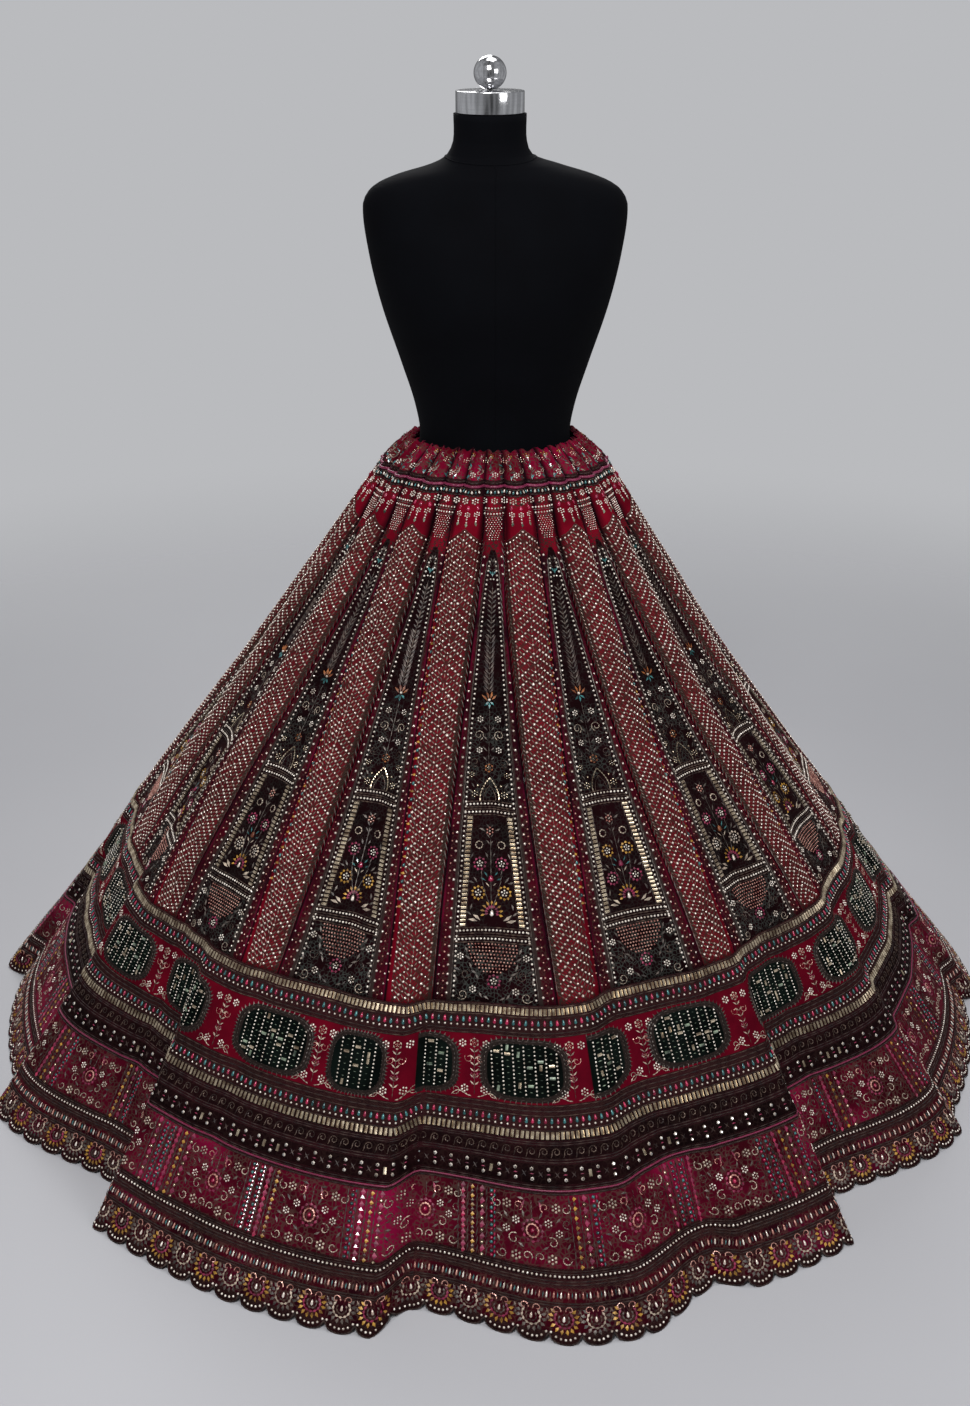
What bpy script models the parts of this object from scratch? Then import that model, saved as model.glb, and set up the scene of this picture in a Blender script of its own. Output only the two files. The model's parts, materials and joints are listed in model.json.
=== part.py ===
"""A gathered lehenga skirt on a limbless dress form: its cloth walls and its stand, in metres, +Z up.

The cloth is one continuous surface, point(azimuth, along). Azimuth is in degrees round the skirt, 0 at
the front (-Y) and 90 at +X. Along is the length of cloth from the waist's top edge, in metres. Each
piece is a flat grid or ring of that surface, given a wall and then laid on it, so that neighbours follow
the same folds and meet with an even gap. Height depends on along only, so every fold is a shift
outwards or inwards in plan, and the hem stays level.
"""

import math

import bmesh
import bpy
from mathutils import Vector

# Cloth
WALL = 0.0015
PANEL_WALL = 0.0018
PIPING_PROUD = 0.0020
SEAM_GAP = 0.0003
UNITS = 16
UNIT_DEG = 360 / UNITS

# The skirt's sides from the waist to the hem: each row is a ring at rest, before its folds. The skirt
# hangs a little to one side, so each ring has its own place across.
PROFILE = (
    # name, radius, height, depth as a share of width, place across
    ("waist edge", 0.112, 0.900, 0.82, 0.011),
    ("casing seam", 0.153, 0.861, 0.82, 0.011),
    ("hip", 0.253, 0.713, 0.90, 0.004),
    ("upper thigh", 0.350, 0.569, 0.98, -0.003),
    ("knee", 0.459, 0.420, 1.0, -0.006),
    ("band seam", 0.534, 0.315, 1.0, -0.006),
    ("border seam", 0.620, 0.186, 1.0, -0.005),
    ("hem", 0.757, 0.000, 1.0, -0.004),
)

# Where the pieces are seamed, as lengths of cloth from the waist edge
CASING_END = 0.0566
PIPING_END = 0.0606
BAND_START = 0.724
BORDER_START = 0.881
LOWER_START = 0.937
EDGING_START = 1.036

# Chevron panels: nearly parallel strips between the flared window panels
CHEVRON_HALF = 0.029
CHEVRON_MOST_SHARE = 0.30
CHEVRON_DRIFT = 0.07

# Gathers at the waist, two to a unit
GATHERS_PER_UNIT = 2
GATHER_DEPTH = 0.0040
GATHER_END = 0.17
GATHER_UNEVEN = 0.25

# How far the chevron panels stand out and the window panels sink in
RIDGES = (
    # along, depth
    (0.000, 0.0000),
    (0.060, 0.0020),
    (0.140, 0.0065),
    (0.260, 0.0090),
    (0.480, 0.0090),
    (0.640, 0.0060),
    (0.724, 0.0032),
    (0.820, 0.0000),
)

# The big folds at the hem. Between two rows the hem runs smoothly from one row's after to the next
# row's before; at a row it steps from before to after. Top is the length of cloth where it starts.
FOLDS = (
    # azimuth, before, after, top
    (-67.0, -0.026, 0.010, 0.50),
    (-42.5, -0.060, 0.012, 0.70),
    (-8.5, 0.036, -0.020, 0.62),
    (11.5, 0.047, 0.047, 0.60),
    (24.5, -0.010, 0.014, 0.90),
    (39.0, 0.016, -0.062, 0.70),
    (62.0, 0.008, -0.012, 0.62),
    (88.0, -0.004, 0.024, 0.60),
    (111.0, 0.030, -0.038, 0.66),
    (137.0, 0.026, -0.030, 0.72),
    (163.0, -0.022, 0.034, 0.60),
    (188.0, 0.030, -0.026, 0.66),
    (214.0, 0.020, -0.034, 0.58),
    (240.0, -0.026, 0.028, 0.70),
    (266.0, 0.022, -0.016, 0.62),
)
FOLD_STEP_DEG = 3.2
FOLD_POWER = 0.9
HAIR_DEG = 1e-6

# Slow unevenness of the hanging cloth
SWAYS = (
    # waves round the skirt, depth, turn in degrees, along where it is deepest
    (5, 0.0040, 20.0, 0.45),
    (7, 0.0030, 75.0, 0.62),
    (3, 0.0050, 130.0, 0.80),
)
SWAY_SPREAD = 0.30

# Scallops at the hem
SCALLOPS = 8 * UNITS
SCALLOP_DEPTH = 0.012

# Dress form and stand
SEAT_GAP = 0.0004
TORSO_SIDES = 28
NECK_SIDE = 0.004
CAP_RADIUS = 0.0450
CAP_BOTTOM = 1.326
CAP_TOP = 1.354
BALL_RADIUS = 0.0214
TORSO_BOTTOM = 0.700
POLE_RADIUS = 0.016
BASE_RADIUS = 0.175
BASE_RIM = 0.006
BASE_CROWN = 0.020
COLLAR_RADIUS = 0.032
TOUCH_GAP = 0.0003

# How far to each side a slope is measured
NEAR = 0.002
NEAR_DEG = 0.3

# Mesh density
PANEL_ROWS = 8
BAND_COLUMNS_PER_UNIT = 8
GATHER_COLUMNS = 4
SCALLOP_COLUMNS = 4
CLOSE_DEG = 0.9

COLLECTION = "lehenga_skirt_on_form"


def smoothstep(x):
    x = min(max(x, 0.0), 1.0)
    return x * x * (3 - 2 * x)


def table_at(rows, x):
    """Linear reading of a table of (place, value) rows."""
    if x <= rows[0][0]:
        return rows[0][1]
    for (x0, y0), (x1, y1) in zip(rows, rows[1:]):
        if x <= x1:
            return y0 + (y1 - y0) * (x - x0) / (x1 - x0)
    return rows[-1][1]


def chord_lengths():
    """The length of cloth from the waist to each row of the profile."""
    lengths = [0.0]
    for (_, r0, z0, *_), (_, r1, z1, *_) in zip(PROFILE, PROFILE[1:]):
        lengths.append(lengths[-1] + math.hypot(r1 - r0, z1 - z0))
    return lengths


ROW_AT = chord_lengths()
HEM = ROW_AT[-1]


def profile_at(along):
    """Radius, height, depth share and place across, on a smooth curve through the table."""
    k = 0
    while k < len(PROFILE) - 2 and along > ROW_AT[k + 1]:
        k += 1
    span = ROW_AT[k + 1] - ROW_AT[k]
    x = (along - ROW_AT[k]) / span
    found = []
    for column in (1, 2, 3, 4):
        here, there = PROFILE[k][column], PROFILE[k + 1][column]
        slopes = []
        for row in (k, k + 1):
            low, high = max(row - 1, 0), min(row + 1, len(PROFILE) - 1)
            rise = PROFILE[high][column] - PROFILE[low][column]
            slopes.append(rise / (ROW_AT[high] - ROW_AT[low]) * span)
        cubic = (2 * x**3 - 3 * x**2 + 1) * here + (x**3 - 2 * x**2 + x) * slopes[0]
        cubic += (3 * x**2 - 2 * x**3) * there + (x**3 - x**2) * slopes[1]
        found.append(cubic)
    return found


def unit_place(azimuth):
    """0 at the middle of a window panel, 0.5 at the middle of a chevron panel."""
    return (azimuth / UNIT_DEG) % 1.0


def gathers(azimuth, along):
    """The small even waves of the drawn-in waist, fading down the skirt."""
    turn = 2 * math.pi * GATHERS_PER_UNIT * unit_place(azimuth)
    uneven = 1 + GATHER_UNEVEN * math.sin(math.radians(3 * azimuth + 40))
    return GATHER_DEPTH * uneven * math.cos(turn) * (1 - smoothstep(along / GATHER_END))


def ridge(azimuth, along):
    """The chevron panels stand out and the window panels between them sink in."""
    return -table_at(RIDGES, along) * math.cos(2 * math.pi * unit_place(azimuth))


def hem_fold(azimuth):
    """How far the hem lies out or in at an azimuth, and where that fold starts, from the table."""
    step = FOLD_STEP_DEG / 2
    for k, (start, before, after, top) in enumerate(FOLDS):
        stop, far, _, next_top = FOLDS[(k + 1) % len(FOLDS)]
        width = (stop - start) % 360
        place = (azimuth - start + step) % 360
        if place < 2 * step:
            return before + (after - before) * smoothstep(place / (2 * step)), top
        if place <= width + HAIR_DEG:
            share = smoothstep((place - 2 * step) / (width - 2 * step))
            return after + (far - after) * share, top + (next_top - top) * share
    raise ValueError(f"no fold row reaches azimuth {azimuth}")


def big_folds(azimuth, along):
    depth, top = hem_fold(azimuth)
    share = max(0.0, (along - top) / (HEM - top))
    return depth * share**FOLD_POWER


def sways(azimuth, along):
    total = 0.0
    for waves, depth, turn, deepest in SWAYS:
        near = max(0.0, 1 - abs(along - deepest) / SWAY_SPREAD)
        total += depth * near * math.sin(math.radians(waves * azimuth + turn))
    return total


def surface(azimuth, along):
    """The cloth's outer surface."""
    radius, height, depth, middle = profile_at(along)
    shift = gathers(azimuth, along) + ridge(azimuth, along)
    shift += big_folds(azimuth, along) + sways(azimuth, along)
    turn = math.radians(azimuth)
    across = middle + (radius + shift) * math.sin(turn)
    return Vector((across, -(radius * depth + shift) * math.cos(turn), height))


def in_plan(along, thick):
    """How wide a thickness of the slanting cloth is when it is measured level."""
    high, low = profile_at(along - NEAR)[1], profile_at(along + NEAR)[1]
    return thick * 2 * NEAR / (high - low)


def point(azimuth, along, out, radial=False):
    """A point of the surface, moved outwards in plan: square to the folds, or along the radius."""
    place = surface(azimuth, along)
    turn = math.radians(azimuth)
    square = Vector((math.sin(turn), -math.cos(turn), 0))
    if not radial:
        ahead = surface(azimuth + NEAR_DEG, along) - surface(azimuth - NEAR_DEG, along)
        square = Vector((ahead.y, -ahead.x, 0)).normalized()
    return place + square * in_plan(along, out)


def collection():
    found = bpy.data.collections.get(COLLECTION)
    if found is None:
        found = bpy.data.collections.new(COLLECTION)
        bpy.context.scene.collection.children.link(found)
    return found


def material(name, hex_color, roughness, metallic=0.0):
    """A Principled material from an sRGB hex colour."""
    found = bpy.data.materials.get(name)
    if found:
        return found
    made = bpy.data.materials.new(name)
    made.use_nodes = True
    shader = made.node_tree.nodes["Principled BSDF"]
    channels = [int(hex_color[k : k + 2], 16) / 255 for k in (0, 2, 4)]
    linear = [c / 12.92 if c <= 0.04045 else ((c + 0.055) / 1.055) ** 2.4 for c in channels]
    shader.inputs["Base Color"].default_value = (*linear, 1)
    shader.inputs["Roughness"].default_value = roughness
    shader.inputs["Metallic"].default_value = metallic
    return made


def velvet():
    return material("crimson_velvet", "6E0F22", 0.85)


def embroidered():
    return material("embroidered_border", "5A3A33", 0.7)


def jersey():
    return material("black_jersey", "141416", 0.8)


def steel():
    return material("polished_steel", "C9CACC", 0.15, 1.0)


def add_object(name, bm, surface_material, smooth=True):
    mesh = bpy.data.meshes.new(name)
    bmesh.ops.recalc_face_normals(bm, faces=bm.faces)
    bm.to_mesh(mesh)
    bm.free()
    mesh.materials.append(surface_material)
    if smooth:
        mesh.shade_smooth()
        mesh.set_sharp_from_angle(angle=math.radians(40))
    obj = bpy.data.objects.new(name, mesh)
    collection().objects.link(obj)
    return obj


def thicken(bm):
    """Gives an open sheet a second side: the faces are copied at layer 1 and joined at the rim."""
    layer = bm.verts.layers.int.new("layer")
    copied = bmesh.ops.extrude_face_region(bm, geom=bm.faces[:], use_keep_orig=True)
    for item in copied["geom"]:
        if isinstance(item, bmesh.types.BMVert):
            item[layer] = 1
    return layer


def panel(name, share_at, columns, seam_top, seam_bottom, surface_material):
    """A kali: share_at(along) gives its two edges as shares of a unit, and the unit's number turns it."""
    bm = bmesh.new()
    bmesh.ops.create_grid(bm, x_segments=columns, y_segments=PANEL_ROWS, size=0.5)
    layer = thicken(bm)
    top, bottom = seam_top + SEAM_GAP / 2, seam_bottom - SEAM_GAP / 2
    for vert in bm.verts:
        along = top + (bottom - top) * (0.5 - vert.co.y)
        left, right = share_at(along)
        radius = profile_at(along)[0]
        gap = math.degrees(SEAM_GAP / 2 / radius)
        start = left * UNIT_DEG + gap
        stop = right * UNIT_DEG - gap
        azimuth = start + (stop - start) * (vert.co.x + 0.5)
        vert.co = point(azimuth, along, -PANEL_WALL if vert[layer] else 0.0, radial=True)
    return add_object(name, bm, surface_material)


def chevron_edges(along):
    """A chevron panel's edges as shares of its unit. Lower down it lies nearer the next window panel."""
    radius = profile_at(along)[0]
    half = min(CHEVRON_MOST_SHARE, CHEVRON_HALF / (math.radians(UNIT_DEG) * radius))
    middle = 0.5 + CHEVRON_DRIFT * smoothstep(along / BAND_START)
    return middle - half, middle + half


def window_panel(unit):
    def edges(along):
        left, right = chevron_edges(along)
        return unit - 1 + right, unit + left

    return panel(f"window_panel_{unit + 1:02d}", edges, 4, PIPING_END, BAND_START, velvet())


def chevron_panel(unit):
    def edges(along):
        left, right = chevron_edges(along)
        return unit + left, unit + right

    return panel(f"chevron_panel_{unit + 1:02d}", edges, 2, PIPING_END, BAND_START, velvet())


def ring(name, azimuths, rows, wall, surface_material, out=0.0, drop=None):
    """A closed band of cloth: azimuths places its columns, and rows its cuts from top to bottom."""
    bm = bmesh.new()
    count = len(azimuths)
    bmesh.ops.create_circle(bm, segments=count, radius=1.0)
    bm.verts.ensure_lookup_table()
    column = bm.verts.layers.int.new("column")
    row = bm.verts.layers.int.new("row")
    for vert in bm.verts:
        vert[column] = round(math.atan2(vert.co.y, vert.co.x) / (2 * math.pi) * count) % count
    edges = bm.edges[:]
    for step in range(1, len(rows)):
        grown = bmesh.ops.extrude_edge_only(bm, edges=edges)["geom"]
        for item in grown:
            if isinstance(item, bmesh.types.BMVert):
                item[row] = step
        edges = [item for item in grown if isinstance(item, bmesh.types.BMEdge)]
    layer = thicken(bm)
    for vert in bm.verts:
        azimuth = azimuths[vert[column]]
        along = rows[vert[row]]
        if drop and vert[row] == len(rows) - 1:
            along -= drop(azimuth)
        vert.co = point(azimuth, along, out - wall if vert[layer] else out)
    return add_object(name, bm, surface_material)


def even_azimuths(per_unit):
    total = per_unit * UNITS
    return [360 * k / total for k in range(total)]


def band_azimuths():
    """Even columns, with more of them through each step of the big folds."""
    spots = {round(azimuth % 360, 3) for azimuth in even_azimuths(BAND_COLUMNS_PER_UNIT)}
    for azimuth, before, after, _ in FOLDS:
        reach = FOLD_STEP_DEG / 2 if before != after else 0.0
        for edge in {azimuth - reach, azimuth + reach}:
            near = {spot for spot in spots if abs((spot - edge + 180) % 360 - 180) < CLOSE_DEG}
            spots -= near
            spots.add(round(edge % 360, 3))
    return sorted(spots)


def scallop_drop(azimuth):
    """How far the hem is cut up: nothing at a scallop's tip, the whole depth where two meet."""
    place = (azimuth / 360 * SCALLOPS) % 1.0
    across = 2 * place - 1
    return SCALLOP_DEPTH * (1 - math.sqrt(max(0.0, 1 - across * across)))


def seams(start, stop, cuts):
    """Rows from one seam to the next, half a gap inside each."""
    low, high = start + SEAM_GAP / 2, stop - SEAM_GAP / 2
    return [low + (high - low) * k / cuts for k in range(cuts + 1)]


def build_skirt():
    gathered = even_azimuths(GATHERS_PER_UNIT * GATHER_COLUMNS)
    casing_rows = [0.0] + seams(0.0, CASING_END, 2)[1:]
    ring("waist_casing", gathered, casing_rows, WALL, velvet())
    piping_rows = seams(CASING_END, PIPING_END, 1)
    ring("waist_piping", gathered, piping_rows, WALL + PIPING_PROUD, velvet(), out=PIPING_PROUD)
    for unit in range(UNITS):
        window_panel(unit)
        chevron_panel(unit)
    columns = band_azimuths()
    ring("medallion_band", columns, seams(BAND_START, BORDER_START, 2), WALL, velvet())
    ring("mirror_border", columns, seams(BORDER_START, LOWER_START, 1), WALL, embroidered())
    ring("lower_band", columns, seams(LOWER_START, EDGING_START, 1), WALL, velvet())
    edging_rows = [EDGING_START + SEAM_GAP / 2, HEM]
    scalloped = even_azimuths(SCALLOPS * SCALLOP_COLUMNS // UNITS)
    ring("scalloped_edging", scalloped, edging_rows, WALL, embroidered(), drop=scallop_drop)


def waist_inside():
    """The waist's inner half width and half depth, at the bottom of its deepest gathers."""
    deepest = GATHER_DEPTH * (1 + GATHER_UNEVEN) + in_plan(0.0, WALL)
    radius, _, depth, _ = profile_at(0.0)
    return radius - deepest - SEAT_GAP, radius * depth - deepest - SEAT_GAP


def torso_rows():
    waist_width, waist_depth = waist_inside()
    _, _, waist_height, _, side = PROFILE[0]
    return (
        # height, half width, half depth, place across
        (CAP_BOTTOM - TOUCH_GAP, 0.0480, 0.0480, NECK_SIDE),
        (1.292, 0.0485, 0.0490, NECK_SIDE),
        (1.274, 0.0570, 0.0530, NECK_SIDE),
        (1.262, 0.0850, 0.0600, side),
        (1.247, 0.1350, 0.0680, side),
        (1.232, 0.1640, 0.0720, side),
        (1.210, 0.1760, 0.0780, side),
        (1.150, 0.1700, 0.0960, side),
        (1.080, 0.1540, 0.1060, side),
        (1.000, 0.1280, 0.0970, side),
        (0.945, 0.1110, 0.0880, side),
        (waist_height, waist_width, waist_depth, side),
        (0.862, waist_width + 0.010, waist_depth + 0.008, side),
        (0.800, 0.1400, 0.1120, side / 2),
        (0.740, 0.1500, 0.1220, 0.0),
        (TORSO_BOTTOM + 0.006, 0.1460, 0.1190, 0.0),
        (TORSO_BOTTOM, 0.1380, 0.1110, 0.0),
    )


def build_torso():
    """The torso with its neck: oval rings from the table, lofted and closed at both ends."""
    rows = torso_rows()
    bm = bmesh.new()
    bmesh.ops.create_circle(bm, segments=TORSO_SIDES, radius=1.0)
    level = bm.verts.layers.int.new("level")
    edges = bm.edges[:]
    for step in range(1, len(rows)):
        grown = bmesh.ops.extrude_edge_only(bm, edges=edges)["geom"]
        for item in grown:
            if isinstance(item, bmesh.types.BMVert):
                item[level] = step
        edges = [item for item in grown if isinstance(item, bmesh.types.BMEdge)]
    for vert in bm.verts:
        height, half_width, half_depth, side = rows[vert[level]]
        vert.co = Vector((side + vert.co.x * half_width, vert.co.y * half_depth, height))
    rims = [edge for edge in bm.edges if edge.is_boundary]
    bmesh.ops.holes_fill(bm, edges=rims, sides=0)
    return add_object("form_torso", bm, jersey())


def build_neck_cap():
    bm = bmesh.new()
    tall = CAP_TOP - CAP_BOTTOM
    bmesh.ops.create_cone(
        bm, cap_ends=True, segments=40, radius1=CAP_RADIUS, radius2=CAP_RADIUS, depth=tall
    )
    rims = [edge for edge in bm.edges if len({round(v.co.z, 5) for v in edge.verts}) == 1]
    bmesh.ops.bevel(
        bm, geom=rims, offset=0.0012, segments=2, profile=0.5, affect="EDGES", material=-1
    )
    bmesh.ops.translate(bm, vec=(NECK_SIDE, 0, CAP_BOTTOM + tall / 2), verts=bm.verts)
    return add_object("neck_cap", bm, steel())


def build_ball():
    bm = bmesh.new()
    bmesh.ops.create_uvsphere(bm, u_segments=24, v_segments=14, radius=BALL_RADIUS)
    middle = CAP_TOP + TOUCH_GAP + BALL_RADIUS
    bmesh.ops.translate(bm, vec=(NECK_SIDE, 0, middle), verts=bm.verts)
    return add_object("finial_ball", bm, steel())


def turned(name, profile_rows, sides, surface_material):
    """A solid turned about Z from (radius, height) rows, top to bottom."""
    bm = bmesh.new()
    spun = [bm.verts.new((radius, 0, height)) for radius, height in profile_rows]
    edges = [bm.edges.new(pair) for pair in zip(spun, spun[1:])]
    bmesh.ops.spin(
        bm, geom=spun + edges, cent=(0, 0, 0), axis=(0, 0, 1), angle=2 * math.pi,
        steps=sides, use_merge=True,
    )
    bmesh.ops.remove_doubles(bm, verts=bm.verts, dist=1e-6)
    return add_object(name, bm, surface_material)


def build_stand():
    pole_top = TORSO_BOTTOM - TOUCH_GAP
    collar_top = BASE_CROWN + 0.030
    turned(
        "stand_pole",
        (
            (0.0, pole_top),
            (POLE_RADIUS, pole_top),
            (POLE_RADIUS, collar_top + TOUCH_GAP),
            (0.0, collar_top + TOUCH_GAP),
        ),
        20,
        steel(),
    )
    turned(
        "stand_base",
        (
            (0.0, collar_top),
            (COLLAR_RADIUS - 0.004, collar_top),
            (COLLAR_RADIUS, collar_top - 0.004),
            (COLLAR_RADIUS, BASE_CROWN),
            (BASE_RADIUS - 0.020, BASE_RIM + 0.004),
            (BASE_RADIUS, BASE_RIM - 0.002),
            (BASE_RADIUS, 0.0),
            (0.0, 0.0),
        ),
        36,
        steel(),
    )


def main():
    for obj in list(bpy.data.objects):
        bpy.data.objects.remove(obj, do_unlink=True)
    bpy.context.scene.unit_settings.scale_length = 1.0
    build_skirt()
    build_torso()
    build_neck_cap()
    build_ball()
    build_stand()


main()
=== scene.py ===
# %% [markdown]
# # A velvet lehenga skirt on a dress form
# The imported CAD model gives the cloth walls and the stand. This lesson dresses them: finer velvet in
# place of each wall, then the beadwork that a workshop would sew on it, then the form, the floor and
# the light.

# %% The frame
import json
import math

import bmesh
import bpy
import numpy as np
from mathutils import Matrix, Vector

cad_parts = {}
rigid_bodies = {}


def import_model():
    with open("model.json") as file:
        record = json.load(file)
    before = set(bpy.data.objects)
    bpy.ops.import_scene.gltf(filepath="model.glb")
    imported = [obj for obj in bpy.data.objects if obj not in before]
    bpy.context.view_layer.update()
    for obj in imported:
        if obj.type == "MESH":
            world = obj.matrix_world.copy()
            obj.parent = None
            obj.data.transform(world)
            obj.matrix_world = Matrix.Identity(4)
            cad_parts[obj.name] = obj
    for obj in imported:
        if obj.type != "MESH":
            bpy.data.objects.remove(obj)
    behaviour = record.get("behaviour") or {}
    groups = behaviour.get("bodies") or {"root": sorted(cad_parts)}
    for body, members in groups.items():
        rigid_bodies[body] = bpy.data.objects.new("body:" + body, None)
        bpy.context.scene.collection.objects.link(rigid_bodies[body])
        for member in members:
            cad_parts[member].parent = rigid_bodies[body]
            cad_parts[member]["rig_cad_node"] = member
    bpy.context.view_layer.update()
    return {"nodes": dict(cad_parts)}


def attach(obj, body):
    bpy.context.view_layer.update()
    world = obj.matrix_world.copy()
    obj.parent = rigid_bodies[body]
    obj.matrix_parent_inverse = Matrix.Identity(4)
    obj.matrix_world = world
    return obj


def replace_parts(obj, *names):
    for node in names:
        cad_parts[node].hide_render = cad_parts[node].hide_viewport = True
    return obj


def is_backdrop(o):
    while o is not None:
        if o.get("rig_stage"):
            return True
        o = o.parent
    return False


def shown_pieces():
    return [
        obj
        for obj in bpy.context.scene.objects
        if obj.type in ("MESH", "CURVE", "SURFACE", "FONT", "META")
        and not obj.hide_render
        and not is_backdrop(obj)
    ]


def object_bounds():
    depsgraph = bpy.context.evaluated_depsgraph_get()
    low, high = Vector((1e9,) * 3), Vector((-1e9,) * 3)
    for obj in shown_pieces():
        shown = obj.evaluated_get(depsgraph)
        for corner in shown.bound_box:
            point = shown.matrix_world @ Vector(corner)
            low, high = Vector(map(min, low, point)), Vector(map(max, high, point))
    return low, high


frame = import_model()

# %% [markdown]
# The camera stands about two and a half metres in front, a little above the neck, and looks down at
# the skirt, as the photographer did. Its lens is a short portrait lens for a 36 mm tall frame. It is
# made first.

# %% The camera
CAMERA_AT = (0.0, -2.46, 1.5183)
CAMERA_DOWN_DEG = 22.64
LENS_MM = 46.04
FILM_MM = 36.0
SIDE_SHIFT = -0.0014


def in_scene(name, data):
    made = bpy.data.objects.new(name, data)
    bpy.context.scene.collection.objects.link(made)
    return made


camera_data = bpy.data.cameras.new("camera")
camera_data.lens = LENS_MM
camera_data.sensor_width = FILM_MM
camera_data.sensor_fit = "AUTO"
camera_data.shift_x = SIDE_SHIFT
camera = in_scene("camera", camera_data)
camera.location = CAMERA_AT
camera.rotation_euler = (math.radians(90 - CAMERA_DOWN_DEG), 0, 0)
bpy.context.scene.camera = camera
print("camera:", CAMERA_AT, "looks down", CAMERA_DOWN_DEG, "degrees")

# %% [markdown]
# The cloth is one surface, read at an azimuth in degrees (0 at the front, 90 at the right) and at a
# length of cloth from the waist edge, called along. The tables are the ones that the CAD walls were
# made from, so velvet and beads lie where the walls are. Arrays are read at once, which keeps
# thousands of beads quick.

# %% The cloth's sizes
UNITS = 16
UNIT_DEG = 360 / UNITS
WALL = 0.0015
SEAM_GAP = 0.0003
CASING_END = 0.0566
PIPING_END = 0.0606
BAND_START = 0.724
BORDER_START = 0.881
LOWER_START = 0.937
EDGING_START = 1.036
CHEVRON_HALF = 0.029
CHEVRON_MOST_SHARE = 0.30
CHEVRON_DRIFT = 0.07
GATHERS_PER_UNIT = 2
GATHER_DEPTH = 0.0040
GATHER_END = 0.17
GATHER_UNEVEN = 0.25
SCALLOPS = 8 * UNITS
SCALLOP_DEPTH = 0.012
FOLD_STEP_DEG = 3.2
FOLD_POWER = 0.9
HAIR_DEG = 1e-6
SWAY_SPREAD = 0.30

PROFILE = np.array((
    # radius, height, depth as a share of width, place across: a ring at rest in each row
    (0.112, 0.900, 0.82, 0.011),
    (0.153, 0.861, 0.82, 0.011),
    (0.253, 0.713, 0.90, 0.004),
    (0.350, 0.569, 0.98, -0.003),
    (0.459, 0.420, 1.0, -0.006),
    (0.534, 0.315, 1.0, -0.006),
    (0.620, 0.186, 1.0, -0.005),
    (0.757, 0.000, 1.0, -0.004),
))
RIDGES = np.array((
    # along, depth that the chevron panels stand out
    (0.000, 0.0000),
    (0.060, 0.0020),
    (0.140, 0.0065),
    (0.260, 0.0090),
    (0.480, 0.0090),
    (0.640, 0.0060),
    (0.724, 0.0032),
    (0.820, 0.0000),
))
FOLDS = (
    # azimuth, depth before, depth after, along where the fold starts
    (-67.0, -0.026, 0.010, 0.50),
    (-42.5, -0.060, 0.012, 0.70),
    (-8.5, 0.036, -0.020, 0.62),
    (11.5, 0.047, 0.047, 0.60),
    (24.5, -0.010, 0.014, 0.90),
    (39.0, 0.016, -0.062, 0.70),
    (62.0, 0.008, -0.012, 0.62),
    (88.0, -0.004, 0.024, 0.60),
    (111.0, 0.030, -0.038, 0.66),
    (137.0, 0.026, -0.030, 0.72),
    (163.0, -0.022, 0.034, 0.60),
    (188.0, 0.030, -0.026, 0.66),
    (214.0, 0.020, -0.034, 0.58),
    (240.0, -0.026, 0.028, 0.70),
    (266.0, 0.022, -0.016, 0.62),
)
SWAYS = (
    # waves round the skirt, depth, turn in degrees, along where it is deepest
    (5, 0.0040, 20.0, 0.45),
    (7, 0.0030, 75.0, 0.62),
    (3, 0.0050, 130.0, 0.80),
)
steps = np.diff(PROFILE[:, :2], axis=0)
ROW_AT = np.concatenate([[0.0], np.cumsum(np.hypot(steps[:, 0], steps[:, 1]))])
HEM = ROW_AT[-1]
print("cloth from waist to hem:", round(HEM, 4), "m")

# %% [markdown]
# On top of those shapes the real cloth has soft creases where it is seamed and where it was folded
# for storage. They are placed one by one, a few to each side, as long shallow troughs and ridges that
# start and end at different heights. Their depth stays under 4 mm, so that the wall is still the same.
# Deeper tucks run down from the waist beside many of the seams, where the gathers die out. They are
# narrow, up to 8.5 mm deep, and make the chevron panels stand out as rounded pleats.

# %% Creases
CREASES = (
    # azimuth, top, bottom, depth (in is negative), half width in degrees
    (-84.0, 0.30, 0.98, -0.0030, 2.0),
    (-58.0, 0.22, 0.90, 0.0026, 2.6),
    (-49.0, 0.46, 1.10, -0.0034, 1.5),
    (-31.0, 0.52, 1.10, -0.0026, 1.8),
    (-20.0, 0.20, 0.80, -0.0022, 1.6),
    (-3.5, 0.50, 1.00, 0.0022, 2.2),
    (2.0, 0.16, 0.70, -0.0020, 1.4),
    (16.5, 0.56, 1.10, -0.0032, 1.6),
    (30.0, 0.26, 0.92, 0.0024, 2.4),
    (45.0, 0.50, 1.10, -0.0030, 1.7),
    (56.0, 0.30, 0.84, -0.0024, 1.6),
    (73.0, 0.40, 1.06, 0.0030, 2.8),
    (98.0, 0.24, 0.96, -0.0028, 2.0),
    (122.0, 0.46, 1.10, -0.0034, 1.8),
    (149.0, 0.34, 1.02, 0.0028, 2.6),
    (171.0, 0.22, 0.88, -0.0026, 1.8),
    (198.0, 0.44, 1.10, -0.0032, 2.0),
    (226.0, 0.30, 0.94, 0.0026, 2.4),
    (251.0, 0.50, 1.10, -0.0034, 1.7),
    (284.0, 0.28, 1.00, -0.0026, 2.2),
)
CREASE_FADE = 0.16


def smoothstep(x):
    x = np.clip(x, 0.0, 1.0)
    return x * x * (3 - 2 * x)


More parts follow.
